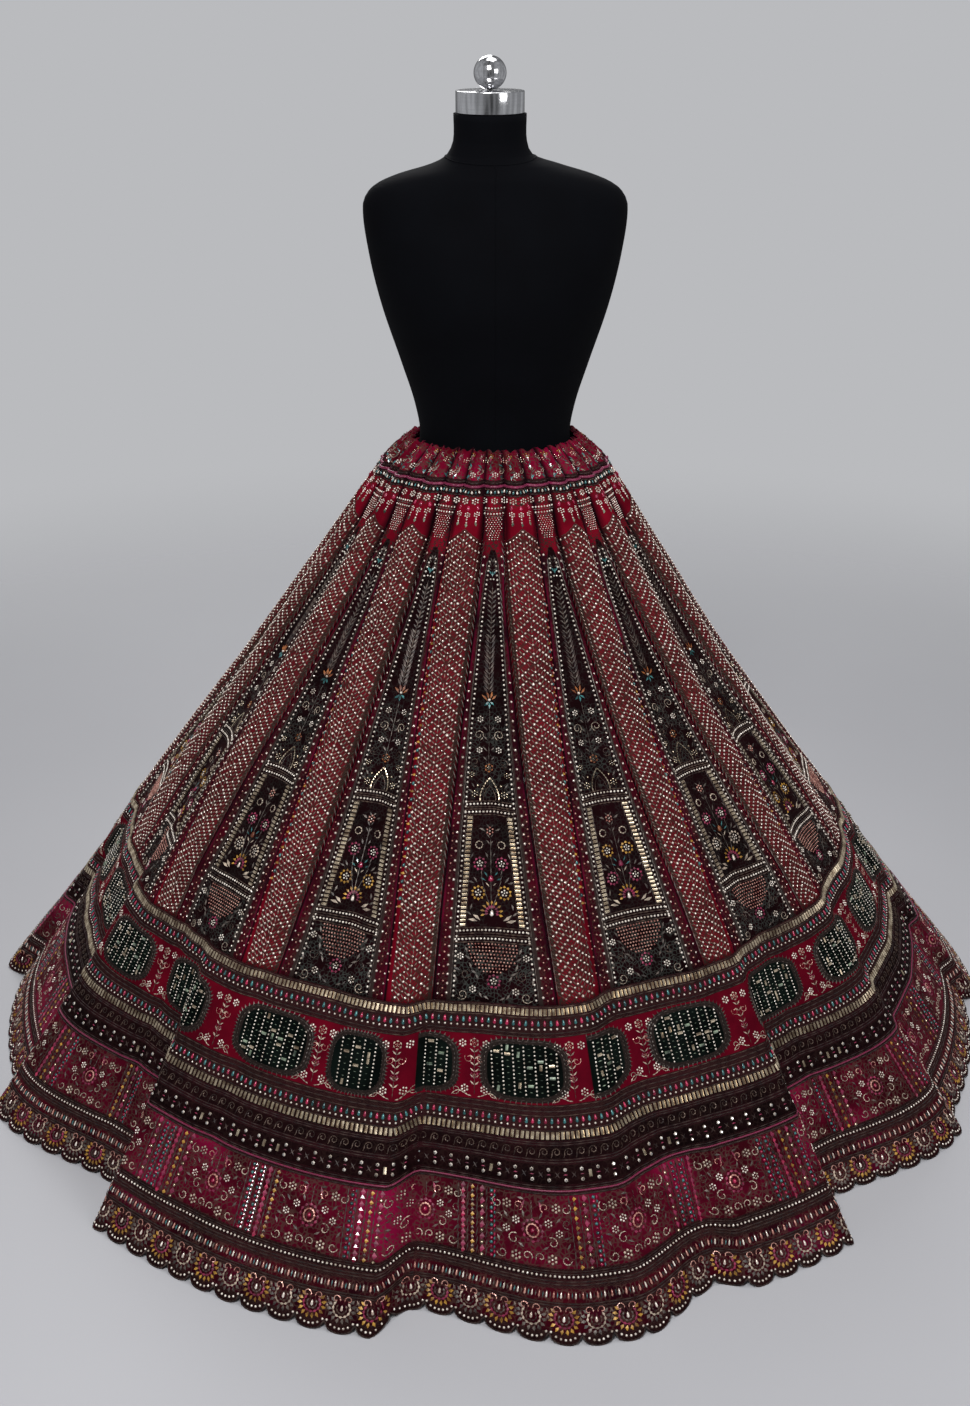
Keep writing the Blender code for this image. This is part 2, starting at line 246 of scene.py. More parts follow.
def creases(azimuth, along):
    total = np.zeros(np.broadcast(azimuth, along).shape)
    for place, top, bottom, depth, half in CREASES:
        off = ((azimuth - place + 180) % 360 - 180) / half
        run = smoothstep((along - top) / CREASE_FADE) * smoothstep((bottom - along) / CREASE_FADE)
        total = total + depth * np.exp(-off * off) * run
    return total


TUCK_HALF = 0.0055
TUCK_FADE = 0.07
TUCKS = (
    # unit, side of its chevron panel (0 left, 1 right), top, bottom, depth
    (0, 0, 0.070, 0.50, -0.0080),
    (0, 1, 0.080, 0.62, -0.0055),
    (1, 0, 0.068, 0.66, -0.0085),
    (1, 1, 0.090, 0.44, -0.0050),
    (2, 0, 0.075, 0.70, -0.0070),
    (2, 1, 0.100, 0.58, -0.0060),
    (3, 0, 0.070, 0.52, -0.0075),
    (4, 1, 0.080, 0.64, -0.0065),
    (5, 0, 0.072, 0.48, -0.0080),
    (5, 1, 0.110, 0.60, -0.0045),
    (6, 1, 0.070, 0.70, -0.0075),
    (7, 0, 0.085, 0.54, -0.0060),
    (8, 0, 0.070, 0.66, -0.0080),
    (8, 1, 0.095, 0.46, -0.0050),
    (9, 1, 0.075, 0.60, -0.0070),
    (10, 0, 0.070, 0.50, -0.0075),
    (11, 0, 0.090, 0.68, -0.0055),
    (11, 1, 0.070, 0.56, -0.0080),
    (12, 1, 0.080, 0.62, -0.0060),
    (13, 0, 0.074, 0.70, -0.0080),
    (13, 1, 0.070, 0.50, -0.0060),
    (14, 0, 0.085, 0.58, -0.0050),
    (14, 1, 0.070, 0.66, -0.0085),
    (15, 0, 0.075, 0.46, -0.0055),
    (15, 1, 0.070, 0.60, -0.0075),
)
print("creases by hand:", len(CREASES), "and tucks along the seams:", len(TUCKS))

# %% The surface
PLEATS_ROUND = 112
PLEAT_DEPTH = 0.0011
PLEAT_END = 0.11
LOBE_SWELL = 1.45


def read_smoothly(table, rows_at, place):
    """Reads a table between its rows, on a smooth curve through all of them."""
    rows = np.arange(len(table))
    ahead, behind = np.minimum(rows + 1, len(table) - 1), np.maximum(rows - 1, 0)
    slopes = (table[ahead] - table[behind]) / (rows_at[ahead] - rows_at[behind])[:, None]
    place = np.asarray(place, float)
    k = np.clip(np.searchsorted(rows_at[1:], place, side="left"), 0, len(table) - 2)
    span = (rows_at[k + 1] - rows_at[k])[..., None]
    x = (place - rows_at[k])[..., None] / span
    found = (2 * x**3 - 3 * x**2 + 1) * table[k] + (x**3 - 2 * x**2 + x) * slopes[k] * span
    found += (3 * x**2 - 2 * x**3) * table[k + 1] + (x**3 - x**2) * slopes[k + 1] * span
    return np.moveaxis(found, -1, 0)


def profile_at(along):
    """Radius, height, depth share and place across at each along."""
    return read_smoothly(PROFILE, ROW_AT, along)


def chevron_edges(along):
    """A chevron panel's edges as shares of its unit."""
    radius = profile_at(along)[0]
    half = np.minimum(CHEVRON_MOST_SHARE, CHEVRON_HALF / (math.radians(UNIT_DEG) * radius))
    middle = 0.5 + CHEVRON_DRIFT * smoothstep(along / BAND_START)
    return middle - half, middle + half


def tucks(azimuth, along, radius):
    total = np.zeros(azimuth.shape)
    edges = chevron_edges(along)
    for unit_number, side, top, bottom, depth in TUCKS:
        place = (unit_number + edges[side]) * UNIT_DEG
        off = np.radians((azimuth - place + 180) % 360 - 180) * radius / TUCK_HALF
        run = smoothstep((along - top) / TUCK_FADE) * smoothstep((bottom - along) / (2 * TUCK_FADE))
        total = total + depth * np.exp(-off * off) * run
    return total


def gather_lobes(azimuth):
    """0 in the sharp valley between two gathers, 2 on top of one."""
    turn = np.radians(azimuth * GATHERS_PER_UNIT * UNITS / 2) + 0.2 * np.sin(np.radians(3 * azimuth))
    turn = turn + 0.3 * np.sin(np.radians(7 * azimuth + 50))
    return 2 * np.abs(np.cos(turn)) ** 0.75


def hem_fold(azimuth):
    """Depth of the big folds at the hem, and the along where each starts."""
    depth, start_at = np.zeros(azimuth.shape), np.full(azimuth.shape, 0.6)
    step = FOLD_STEP_DEG / 2
    for k, (start, before, after, top) in enumerate(FOLDS):
        stop, far, _, next_top = FOLDS[(k + 1) % len(FOLDS)]
        width = (stop - start) % 360
        place = (azimuth - start + step) % 360
        share = smoothstep((place - 2 * step) / (width - 2 * step))
        on_step = place < 2 * step
        on_run = ~on_step & (place <= width + HAIR_DEG)
        depth = np.where(on_step, before + (after - before) * smoothstep(place / (2 * step)), depth)
        depth = np.where(on_run, after + (far - after) * share, depth)
        start_at = np.where(on_step, top, start_at)
        start_at = np.where(on_run, top + (next_top - top) * share, start_at)
    return depth, start_at


def surface(azimuth, along):
    """The cloth's outer surface, as points."""
    azimuth, along = np.broadcast_arrays(np.asarray(azimuth, float), np.asarray(along, float))
    radius, height, depth_share, middle = profile_at(along)
    turn = 2 * np.pi * (azimuth / UNIT_DEG)
    uneven = 1 + GATHER_UNEVEN * np.sin(np.radians(3 * azimuth + 40))
    fade = 1 - smoothstep(along / GATHER_END)
    shift = GATHER_DEPTH * uneven * (LOBE_SWELL * gather_lobes(azimuth) - 1) * fade
    wobble = 1.2 * np.sin(np.radians(5 * azimuth)) + 0.8 * np.sin(np.radians(13 * azimuth))
    pleats = np.sin(np.radians(PLEATS_ROUND * azimuth) + wobble)
    shift = shift + PLEAT_DEPTH * pleats * (1 - smoothstep(along / PLEAT_END))
    shift = shift - np.interp(along, RIDGES[:, 0], RIDGES[:, 1]) * np.cos(turn)
    fold, start_at = hem_fold(azimuth)
    share = np.maximum(0.0, (along - start_at) / (HEM - start_at))
    shift = shift + fold * share**FOLD_POWER
    for waves, depth, turned, deepest in SWAYS:
        near = np.maximum(0.0, 1 - np.abs(along - deepest) / SWAY_SPREAD)
        shift = shift + depth * near * np.sin(np.radians(waves * azimuth + turned))
    shift = shift + creases(azimuth, along) + tucks(azimuth, along, radius)
    a = np.radians(azimuth)
    x = middle + (radius + shift) * np.sin(a)
    return np.stack([x, -(radius * depth_share + shift) * np.cos(a), height], axis=-1)


print("front of the hem:", surface(0.0, HEM).round(3))

# %% [markdown]
# A bead needs more than a point: it needs to know which way the cloth faces there. The next helper
# gives three directions at each place: across the cloth, up it and out of it. They come from the
# difference between near points of the surface, as a hand would feel the slope.

# %% Directions on the cloth
NEAR_DEG = 0.25
NEAR = 0.0015


def unit(vectors):
    return vectors / np.maximum(np.linalg.norm(vectors, axis=-1, keepdims=True), 1e-12)


def directions(azimuth, along):
    """Points of the cloth with the directions across, up and out there."""
    place = surface(azimuth, along)
    across = unit(surface(azimuth + NEAR_DEG, along) - surface(azimuth - NEAR_DEG, along))
    down = surface(azimuth, along + NEAR) - surface(azimuth, along - NEAR)
    out = unit(np.cross(down, across))
    return place, across, np.cross(out, across), out


def metres_per_degree(azimuth, along):
    ahead = surface(azimuth + NEAR_DEG, along) - surface(azimuth - NEAR_DEG, along)
    return np.linalg.norm(ahead, axis=-1) / (2 * NEAR_DEG)


def on_cloth(azimuth, along, x, y):
    """Places x across and y up, in metres, from points of the cloth, as azimuth and along."""
    azimuth = np.atleast_1d(azimuth)[:, None]
    down = along - np.atleast_1d(y)[None, :]
    radius = profile_at(down)[0]
    return azimuth + np.degrees(np.atleast_1d(x)[None, :] / radius), down + 0 * azimuth


def ring_spots(along, pitch):
    """Azimuths at an even real pitch round the skirt, closed into a whole number of steps."""
    fine = np.linspace(0, 360, 2881)
    path = surface(fine, along)
    run = np.concatenate([[0], np.cumsum(np.linalg.norm(np.diff(path, axis=0), axis=1))])
    count = max(2, 2 * round(run[-1] / pitch / 2))
    return np.interp(np.arange(count) / count * run[-1], run, fine)


print("hem length with its folds:", round(len(ring_spots(HEM, 0.01)) * 0.01, 2), "m")

# %% [markdown]
# ## Finishes
# Colours are written as sRGB hex values and turned to linear light by one function. One more helper
# adds a shader node with its settings and links. Every finish below is built from these two.

# %% Colour and node helpers
def linear(hex_color):
    channels = [int(hex_color[k : k + 2], 16) / 255 for k in (0, 2, 4)]
    return tuple(c / 12.92 if c <= 0.04045 else ((c + 0.055) / 1.055) ** 2.4 for c in channels) + (1,)


def add(tree, kind, inputs=None, **settings):
    """Adds a node: settings are its properties, and inputs are values or sockets to link."""
    made = tree.nodes.new(kind)
    for name, value in settings.items():
        setattr(made, name, value)
    for key, value in (inputs or {}).items():
        if isinstance(value, bpy.types.NodeSocket):
            tree.links.new(value, made.inputs[key])
        else:
            made.inputs[key].default_value = value
    return made


def new_material(name, roughness, metallic=0.0, **constants):
    made = bpy.data.materials.new(name)
    made.use_nodes = True
    shader = made.node_tree.nodes["Principled BSDF"]
    shader.inputs["Roughness"].default_value = roughness
    shader.inputs["Metallic"].default_value = metallic
    for key, value in constants.items():
        shader.inputs[key.replace("_", " ")].default_value = value
    return made, made.node_tree, shader


def blend_colour(tree, share, low, high):
    """Mixes two colours, each a hex value or a socket."""
    ends = [linear(c) if isinstance(c, str) else c for c in (low, high)]
    inputs = {0: share, 6: ends[0], 7: ends[1]}
    return add(tree, "ShaderNodeMix", inputs, data_type="RGBA").outputs[2]


def reckon(tree, operation, *values):
    inputs = dict(enumerate(values))
    return add(tree, "ShaderNodeMath", inputs, operation=operation).outputs[0]


def times(tree, first, second):
    return reckon(tree, "MULTIPLY", first, second)


def remap(tree, value, low, high, to_low=0.0, to_high=1.0, **settings):
    """Stretches a value so that low and high become two others, and holds it between them."""
    ins = {"Value": value, "From Min": low, "From Max": high, "To Min": to_low, "To Max": to_high}
    return add(tree, "ShaderNodeMapRange", ins, **settings).outputs[0]


def band_between(tree, value, low, high, soft=0.0004):
    """1 where a value lies between two others, with soft ends."""
    rise = remap(tree, value, low - soft, low + soft)
    return reckon(tree, "SUBTRACT", rise, remap(tree, value, high - soft, high + soft))


def own_place(tree):
    """The place on the object itself, in metres."""
    return add(tree, "ShaderNodeTexCoord").outputs["Object"]


def noise(tree, spot, scale, detail=2.0, roughness=0.5):
    ins = {"Vector": spot, "Scale": scale, "Detail": detail, "Roughness": roughness}
    return add(tree, "ShaderNodeTexNoise", ins).outputs["Fac"]


def roughen(tree, shader, height, strength, distance):
    """Lets a height shade the surface as small bumps."""
    ins = {"Height": height, "Strength": strength, "Distance": distance}
    bump = add(tree, "ShaderNodeBump", ins).outputs["Normal"]
    tree.links.new(bump, shader.inputs["Normal"])


print("crimson in linear light:", [round(v, 3) for v in linear("8C0B24")])

# %% [markdown]
# The skirt is cotton velvet with a short silk-like pile, dyed crimson. Velvet is darkest when looked
# at straight on and glows at its edges, which the shader's sheen gives. Where the pile was brushed
# the other way it looks lighter, in soft patches of about 55 mm. The pile itself is about 0.5 mm
# across, too fine for the render, so its bump is drawn at 1.2 mm.

# %% Velvet
NAP_MM = 55.0
PILE_MM = 1.2
CRIMSON = "540211"
CRIMSON_BRUSHED = "70051A"


def velvet_base(name, sheen_tint="E8304A", sheen=0.07):
    made, tree, shader = new_material(name, 0.85, Sheen_Weight=sheen, Sheen_Roughness=0.30)
    shader.inputs["Sheen Tint"].default_value = linear(sheen_tint)
    shader.inputs["Specular IOR Level"].default_value = 0.04
    spot = own_place(tree)
    nap = remap(tree, noise(tree, spot, 1000 / NAP_MM, 3.0, 0.55), 0.38, 0.66)
    roughen(tree, shader, noise(tree, spot, 1000 / PILE_MM, 1.0), 0.35, 0.0006)
    return made, tree, shader, nap, spot


print("velvet's two shades:", CRIMSON, CRIMSON_BRUSHED)

# %% [markdown]
# Between the beads the real cloth is filled with flat metal-thread work, dull gold gone brown. It is
# too dense to model, so it is painted into the velvet from the cloth's own map: u is metres across
# from the panel's centre line and v is metres down from the waist. On a chevron panel the threads
# lie square to the rows of sequins, and a brown edging runs down the inner side.

# %% Chevron velvet
ROW_PITCH = 0.0116
ROW_SLOPE = 0.95
ROW_FIRST = 0.004
THREAD_PITCH = 0.0044
CHEVRON_TOP = 0.118
FIELD_HALF = 0.0215
WAIST_WORK_END = 0.088
# How strong the painted shade is in the seam valleys near the waist.
SEAM_SHADE_SHARE = 0.8


def vine_work(tree, spot, scale, wide=0.08):
    """Fine scrolling thread: the edges of small irregular cells, broken up in patches."""
    ins = {"Vector": spot, "Scale": scale, "Randomness": 0.9}
    cells = add(tree, "ShaderNodeTexVoronoi", ins, feature="DISTANCE_TO_EDGE").outputs[0]
    vine = band_between(tree, cells, -1.0, wide, 0.03)
    patch = noise(tree, spot, 70.0)
    return times(tree, vine, band_between(tree, patch, 0.43, 2.0, 0.05)), patch


def painted_seam_shade(tree, from_edge, v):
    """Painted shade along the seams near the waist, in the valleys where the kalis crowd together."""
    near = band_between(tree, from_edge, -1.0, 0.0048, 0.0030)
    high = band_between(tree, v, -1.0, 0.165, 0.045)
    return times(tree, times(tree, near, high), SEAM_SHADE_SHARE)


def cloth_map(tree, name):
    found = add(tree, "ShaderNodeUVMap", uv_map=name).outputs[0]
    return add(tree, "ShaderNodeSeparateXYZ", {0: found}).outputs


def make_chevron_velvet():
    made, tree, shader, nap, spot = velvet_base("chevron_velvet")
    u, v, _ = cloth_map(tree, "cloth")
    side = reckon(tree, "ABSOLUTE", u)
    climb = reckon(tree, "MULTIPLY_ADD", side, ROW_SLOPE, v)
    thread = reckon(tree, "FRACT", reckon(tree, "DIVIDE", climb, THREAD_PITCH))
    thread = band_between(tree, thread, 0.10, 0.62, 0.08)
    fall = reckon(tree, "MULTIPLY_ADD", side, -ROW_SLOPE, v)
    row = reckon(tree, "DIVIDE", reckon(tree, "SUBTRACT", fall, CHEVRON_TOP + ROW_FIRST), ROW_PITCH)
    on_row = band_between(tree, reckon(tree, "FRACT", reckon(tree, "ADD", row, 0.22)), 0.0, 0.44, 0.04)
    thread = reckon(tree, "MAXIMUM", thread, on_row)
    inside = band_between(tree, fall, CHEVRON_TOP, 2.0, 0.0004)
    field = times(tree, band_between(tree, side, -1.0, FIELD_HALF), inside)
    thread = times(tree, thread, field)
    patch = noise(tree, spot, 420.0)
    edging = times(tree, band_between(tree, side, FIELD_HALF, 0.0268), inside)
    edging = times(tree, edging, band_between(tree, patch, 0.36, 2.0, 0.08))
    turned = add(tree, "ShaderNodeSeparateXYZ", {0: spot}).outputs[0]
    outer = band_between(tree, times(tree, turned, u), 0.0, 9.0, 0.00001)
    edging = times(tree, edging, reckon(tree, "MULTIPLY_ADD", outer, -1.0, 1.0))
    ground = blend_colour(tree, nap, CRIMSON, CRIMSON_BRUSHED)
    zari = blend_colour(tree, patch, "0E0606", "402F29")
    ground = blend_colour(tree, times(tree, thread, 0.80), ground, zari)
    ground = blend_colour(tree, edging, ground, zari)
    vine, _ = vine_work(tree, spot, 230.0)
    worked = times(tree, vine, band_between(tree, v, 0.0, WAIST_WORK_END, 0.002))
    ground = blend_colour(tree, worked, ground, "2E211E")
    ground = blend_colour(tree, band_between(tree, v, 0.0, 0.0728, 0.0006), ground, "1E0A0C")
    from_edge, _, _ = cloth_map(tree, "edge")
    # Painted shadow along each seam, and painted shade in the seam valleys near the waist.
    ground = blend_colour(tree, band_between(tree, from_edge, -1.0, 0.0016, 0.0006), ground, "18040A")
    ground = blend_colour(tree, painted_seam_shade(tree, from_edge, v), ground, "14030A")
    tree.links.new(ground, shader.inputs["Base Color"])
    return made


chevron_velvet = make_chevron_velvet()
print("sequin rows every", ROW_PITCH * 1000, "mm")

# %% [markdown]
# A window panel has a dark field in its middle, shaped like a tall arch, and red velvet on both
# sides. The field's edge is where u of the second map is 1, whatever its width there. Fine grey and
# brown vine work fills it, drawn here as the edges of small irregular cells.

# %% Window velvet
JAAL_HALF = np.array((
    # along, half width of the dark field in metres
    (0.146, 0.0020),
    (0.160, 0.0062),
    (0.212, 0.0122),
    (0.349, 0.0232),
    (0.478, 0.0330),
    (0.642, 0.0474),
    (0.724, 0.0540),
))


def jaal_half(along):
    return np.interp(along, JAAL_HALF[:, 0], JAAL_HALF[:, 1])


def make_window_velvet():
    made, tree, shader, nap, spot = velvet_base("window_velvet", sheen=0.06)
    u, v, _ = cloth_map(tree, "jaal")
    from_edge, _, _ = cloth_map(tree, "edge")
    side = reckon(tree, "ABSOLUTE", u)
    below = band_between(tree, v, 0.150, 2.0, 0.0005)
    dark = times(tree, band_between(tree, side, -1.0, 1.0, 0.012), below)
    vine, patch = vine_work(tree, spot, 210.0)
    upper = times(tree, band_between(tree, v, 0.365, 0.474, 0.004), 0.40)
    foot = reckon(tree, "MULTIPLY_ADD", band_between(tree, v, 0.652, 2.0, 0.003), 0.60, upper)
    share = times(tree, vine, reckon(tree, "ADD", foot, 0.18))
    red = blend_colour(tree, nap, "22020A", "3E0412")
    red = blend_colour(tree, times(tree, vine, 0.7), red, "34241F")
    cord = band_between(tree, side, 1.0, 1.10, 0.01)
    red = blend_colour(tree, times(tree, cord, below), red, "2C2220")
    line = band_between(tree, from_edge, 0.0016, 0.0036, 0.0003)
    red = blend_colour(tree, line, red, blend_colour(tree, nap, "1E020C", "560722"))
    crimson = blend_colour(tree, nap, CRIMSON, CRIMSON_BRUSHED)
    crimson = blend_colour(tree, vine, crimson, "2C1F1C")
    red = blend_colour(tree, band_between(tree, v, -1.0, 0.158, 0.004), red, crimson)
    # Painted shadow along each seam, and painted shade in the seam valleys near the waist.
    red = blend_colour(tree, band_between(tree, from_edge, -1.0, 0.0012, 0.0006), red, "12040A")
    red = blend_colour(tree, painted_seam_shade(tree, from_edge, v), red, "14030A")
    red = blend_colour(tree, band_between(tree, v, 0.0, 0.0728, 0.0006), red, "1E0A0C")
    field = blend_colour(tree, nap, "0C0203", "170306")
    green = blend_colour(tree, patch, "38302C", "343E3B")
    field = blend_colour(tree, share, field, green)
    tree.links.new(blend_colour(tree, dark, red, field), shader.inputs["Base Color"])
    return made


window_velvet = make_window_velvet()
print("dark field is", round(float(jaal_half(0.724)) * 2000), "mm wide at the band")

# %% [markdown]
# The casing and the four bands share one recipe: velvet, and over it dark strips where the lines of
# trim lie. Each strip is named by where it starts and stops down the cloth. It is filled with brown
# couched thread that runs round the skirt in loops, drawn as fine broken waves 2.4 mm apart. The
# velvet between the strips has a little scrolling thread of its own. On the gathered casing the
# valleys between the gathers get painted shade, and low on the skirt, soft patches of painted
# magenta sheen stand in for light on the pile.

# %% Banded velvet
COUCHING_PITCH = 0.0024
LOOP_PITCH = 0.0042


def make_banded_velvet(
    name, dark, brushed, strips, scrolling, thread_share, gathered=False, painted_sheen=None, **sheen
):
    made, tree, shader, nap, spot = velvet_base(name, **sheen)
    u, v, _ = cloth_map(tree, "cloth")
    patch = noise(tree, spot, 380.0, roughness=0.7)
    wave = reckon(tree, "SINE", times(tree, u, 2 * math.pi / LOOP_PITCH))
    thread = reckon(tree, "MULTIPLY_ADD", wave, 0.35, reckon(tree, "DIVIDE", v, COUCHING_PITCH))
    thread = reckon(tree, "FRACT", thread)
    thread = times(tree, band_between(tree, thread, 0.2, 0.8, 0.1), thread_share)
    thread = times(tree, thread, band_between(tree, patch, 0.40, 2.0, 0.1))
    total = None
    for start, stop in strips:
        strip = band_between(tree, v, start, stop, 0.0003)
        total = strip if total is None else reckon(tree, "ADD", total, strip)
    vine, _ = vine_work(tree, spot, 170.0, 0.10)
    ground = blend_colour(tree, nap, dark, brushed)
    if painted_sheen:
        # Painted magenta sheen: soft lighter patches that stand in for light caught on the pile.
        painted_sheen_patch = band_between(tree, noise(tree, spot, 6.0, 1.0), 0.61, 2.0, 0.06)
        ground = blend_colour(tree, painted_sheen_patch, ground, painted_sheen)
    ground = blend_colour(tree, times(tree, vine, scrolling), ground, "44322C")
    strip = blend_colour(tree, nap, "140409", "260710")
    strip = blend_colour(tree, thread, strip, blend_colour(tree, patch, "180C0B", "4A352E"))
    ground = blend_colour(tree, total, ground, strip)
    if gathered:
        # Painted shade in the valleys between the gathers.
        lobes, _, _ = cloth_map(tree, "gather")
        ground = blend_colour(tree, band_between(tree, lobes, -1.0, 0.74, 0.50), ground, "120308")
    tree.links.new(ground, shader.inputs["Base Color"])
    return made


waist_velvet = make_banded_velvet(
    "waist_velvet", "4C0211", "740529", ((0.0485, 0.0600),), 0.60, 0.6, True, sheen_tint="F0479A",
    sheen=0.14,
)
band_velvet = make_banded_velvet(
    "medallion_band_velvet", "460110", "5E0316", ((0.70, 0.7625), (0.8405, 0.90)), 0.0, 0.6
)
border_velvet = make_banded_velvet(
    "mirror_border_velvet", "0C0304", "180608", ((0.85, 0.888), (0.902, 0.909), (0.931, 0.95)),
    0.10, 0.35, sheen_tint="7A4A4A", sheen=0.02,
)
lower_velvet = make_banded_velvet(
    "lower_band_velvet", "2E020B", "52041C", ((0.9385, 0.9435), (1.0245, 1.05)),
    0.62, 0.7, painted_sheen="740830", sheen_tint="F0306A", sheen=0.12,
)
edging_velvet = make_banded_velvet(
    "scalloped_edging_velvet", "1E0209", "3A0410", ((1.03, 1.0465), (1.0615, 1.070), (1.094, 1.12)),
    0.55, 0.7, painted_sheen="500522", sheen_tint="E0406A", sheen=0.07,
)
print("banded velvets:", 5)

# %% [markdown]
# Beads, sequins and threads are small, so each finish is one short recipe: a base colour that
# drifts a little from bead to bead, as hand-sorted beads do, and a gloss that suits it. Glass,
# pearls and sequins are smooth with a clear coat, bars and mirrors are metal, and thread is rough.

# %% Bead and thread finishes
BEAD_DRIFT_MM = 9.0


def bead_finish(name, low, high, roughness, metallic=0.0, coat=0.0):
    made, tree, shader = new_material(name, roughness, metallic, Coat_Weight=coat)
    drift = remap(tree, noise(tree, own_place(tree), 1000 / BEAD_DRIFT_MM), 0.36, 0.64)
    tree.links.new(blend_colour(tree, drift, low, high), shader.inputs["Base Color"])
    return made


FINISHES = {
    # name: dark, light, roughness, metallic, coat
    "pearl": ("A89A8C", "F8EEE2", 0.20, 0.0, 0.7),
    "silver_sequin": ("BEA89A", "FFF4E8", 0.16, 0.2, 0.8),
    "rose_sequin": ("94584E", "DCA696", 0.28, 0.3, 0.3),
    "zari_thread": ("3A2B25", "7E685A", 0.45, 0.2, 0.0),
    "dull_gold": ("291C19", "624F44", 0.42, 0.4, 0.0),
    "pale_gold": ("94806A", "F4E2C4", 0.24, 0.9, 0.0),
    "yellow_gold": ("6A4814", "B88A34", 0.45, 0.1, 0.0),
    "cream_thread": ("786A5E", "C2B09C", 0.55, 0.0, 0.0),
    "grey_thread": ("322B28", "685E56", 0.5, 0.2, 0.0),
    "brown_cord": ("1A0E0D", "42302A", 0.55, 0.2, 0.0),
    "teal_glass": ("12383A", "3C7A7A", 0.2, 0.0, 0.7),
    "pink_glass": ("660A28", "B42850", 0.2, 0.0, 0.7),
    "magenta_thread": ("520A26", "8E2048", 0.55, 0.0, 0.0),
    "orange_thread": ("5E2C16", "A0602F", 0.5, 0.0, 0.0),
    "green_glass": ("2A352C", "8E9E86", 0.2, 0.1, 0.7),
    "mirror": ("D8D8D6", "FFFFFF", 0.06, 1.0, 0.0),
}
finishes = {name: bead_finish(name, *values) for name, values in FINISHES.items()}
print("bead finishes:", ", ".join(finishes))

# %% [markdown]
# The oval medallions are worked on small plates of almost black green velvet, the piping is satin,
# and the form wears black cotton jersey over its padding. Jersey is matte, with fine ribs about
# 1 mm apart that only show close up. The cap, ball and stand are steel, polished or satin.

# %% Plates, satin, jersey and steel
PLATE_EDGE = 0.84


def make_plate_velvet():
    """Black-green in the middle, grey-brown looped thread outside u = PLATE_EDGE."""
    made, tree, shader, nap, spot = velvet_base("medallion_plate_velvet", "5A6A60", 0.02)
    u, _, _ = cloth_map(tree, "plate")
    rim = band_between(tree, u, PLATE_EDGE, 2.0, 0.01)
    patch = noise(tree, spot, 420.0)
    thread = blend_colour(tree, patch, "0A0505", "302825")
    middle = blend_colour(tree, nap, "020504", "0A120F")
    tree.links.new(blend_colour(tree, rim, middle, thread), shader.inputs["Base Color"])
    return made


def make_satin():
    made, tree, shader = new_material("pink_satin", 0.42, Sheen_Weight=0.06)
    shade = noise(tree, own_place(tree), 160.0)
    tree.links.new(blend_colour(tree, shade, "4A0622", "861A48"), shader.inputs["Base Color"])
    return made


def make_jersey():
    made, tree, shader = new_material("black_jersey", 0.85, Sheen_Weight=0.015, Sheen_Roughness=0.5)
    shader.inputs["Sheen Tint"].default_value = linear("9A9CA4")
    shader.inputs["Specular IOR Level"].default_value = 0.05
    spot = own_place(tree)
    shade = noise(tree, spot, 14.0)
    tree.links.new(blend_colour(tree, shade, "030305", "06070B"), shader.inputs["Base Color"])
    ins = {"Vector": spot, "Scale": 320.0, "Distortion": 0.4}
    ribs = add(tree, "ShaderNodeTexWave", ins, bands_direction="X").outputs["Fac"]
    roughen(tree, shader, ribs, 0.25, 0.0003)
    return made


def make_steel(name, low, high, roughness, scratch):
    made, tree, shader = new_material(name, roughness, 1.0)
    ins = {"Vector": own_place(tree), "Scale": (20.0, 20.0, 900.0)}
    lines = noise(tree, add(tree, "ShaderNodeMapping", ins).outputs[0], 1.0)
    tree.links.new(blend_colour(tree, lines, low, high), shader.inputs["Base Color"])
    roughen(tree, shader, lines, scratch, 0.0002)
    return made


plate_velvet = make_plate_velvet()
pink_satin = make_satin()
black_jersey = make_jersey()
polished_steel = make_steel("polished_steel", "D2D2D4", "ECECEE", 0.14, 0.02)
satin_steel = make_steel("satin_steel", "98989A", "B8B8BA", 0.32, 0.12)
print("other finishes:", pink_satin.name, black_jersey.name, polished_steel.name, satin_steel.name)

# %% [markdown]
# ## The velvet
# Each kali is a grid from one bmesh operator, then laid on the surface: its columns run between the
# panel's two edges and its rows from seam to seam. A Solidify modifier gives the wall its thickness
# inwards. Two maps go with it, one in metres and one in which the dark field's edge is at 1.

# %% Laying a kali
def chevron_middle(unit, along):
    return (unit + 0.5 + CHEVRON_DRIFT * smoothstep(along / BAND_START)) * UNIT_DEG


def window_middle(unit, along):
    return chevron_middle(unit - 0.5, along)


def add_piece(name, mesh):
    """Makes the object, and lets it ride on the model's one body."""
    piece = in_scene(name, mesh)
    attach(piece, "root")
    return piece


def finish_piece(name, bm, material, thickness=None):
    """Makes a piece of what was modelled, with a wall inwards where a thickness is given."""
    bmesh.ops.recalc_face_normals(bm, faces=bm.faces)
    mesh = bpy.data.meshes.new(name)
    bm.to_mesh(mesh)
    bm.free()
    mesh.materials.append(material)
    mesh.shade_smooth()
    piece = add_piece(name, mesh)
    if thickness:
        wall = piece.modifiers.new("wall", "SOLIDIFY")
        wall.thickness = thickness
        wall.offset = -1.0
    return piece


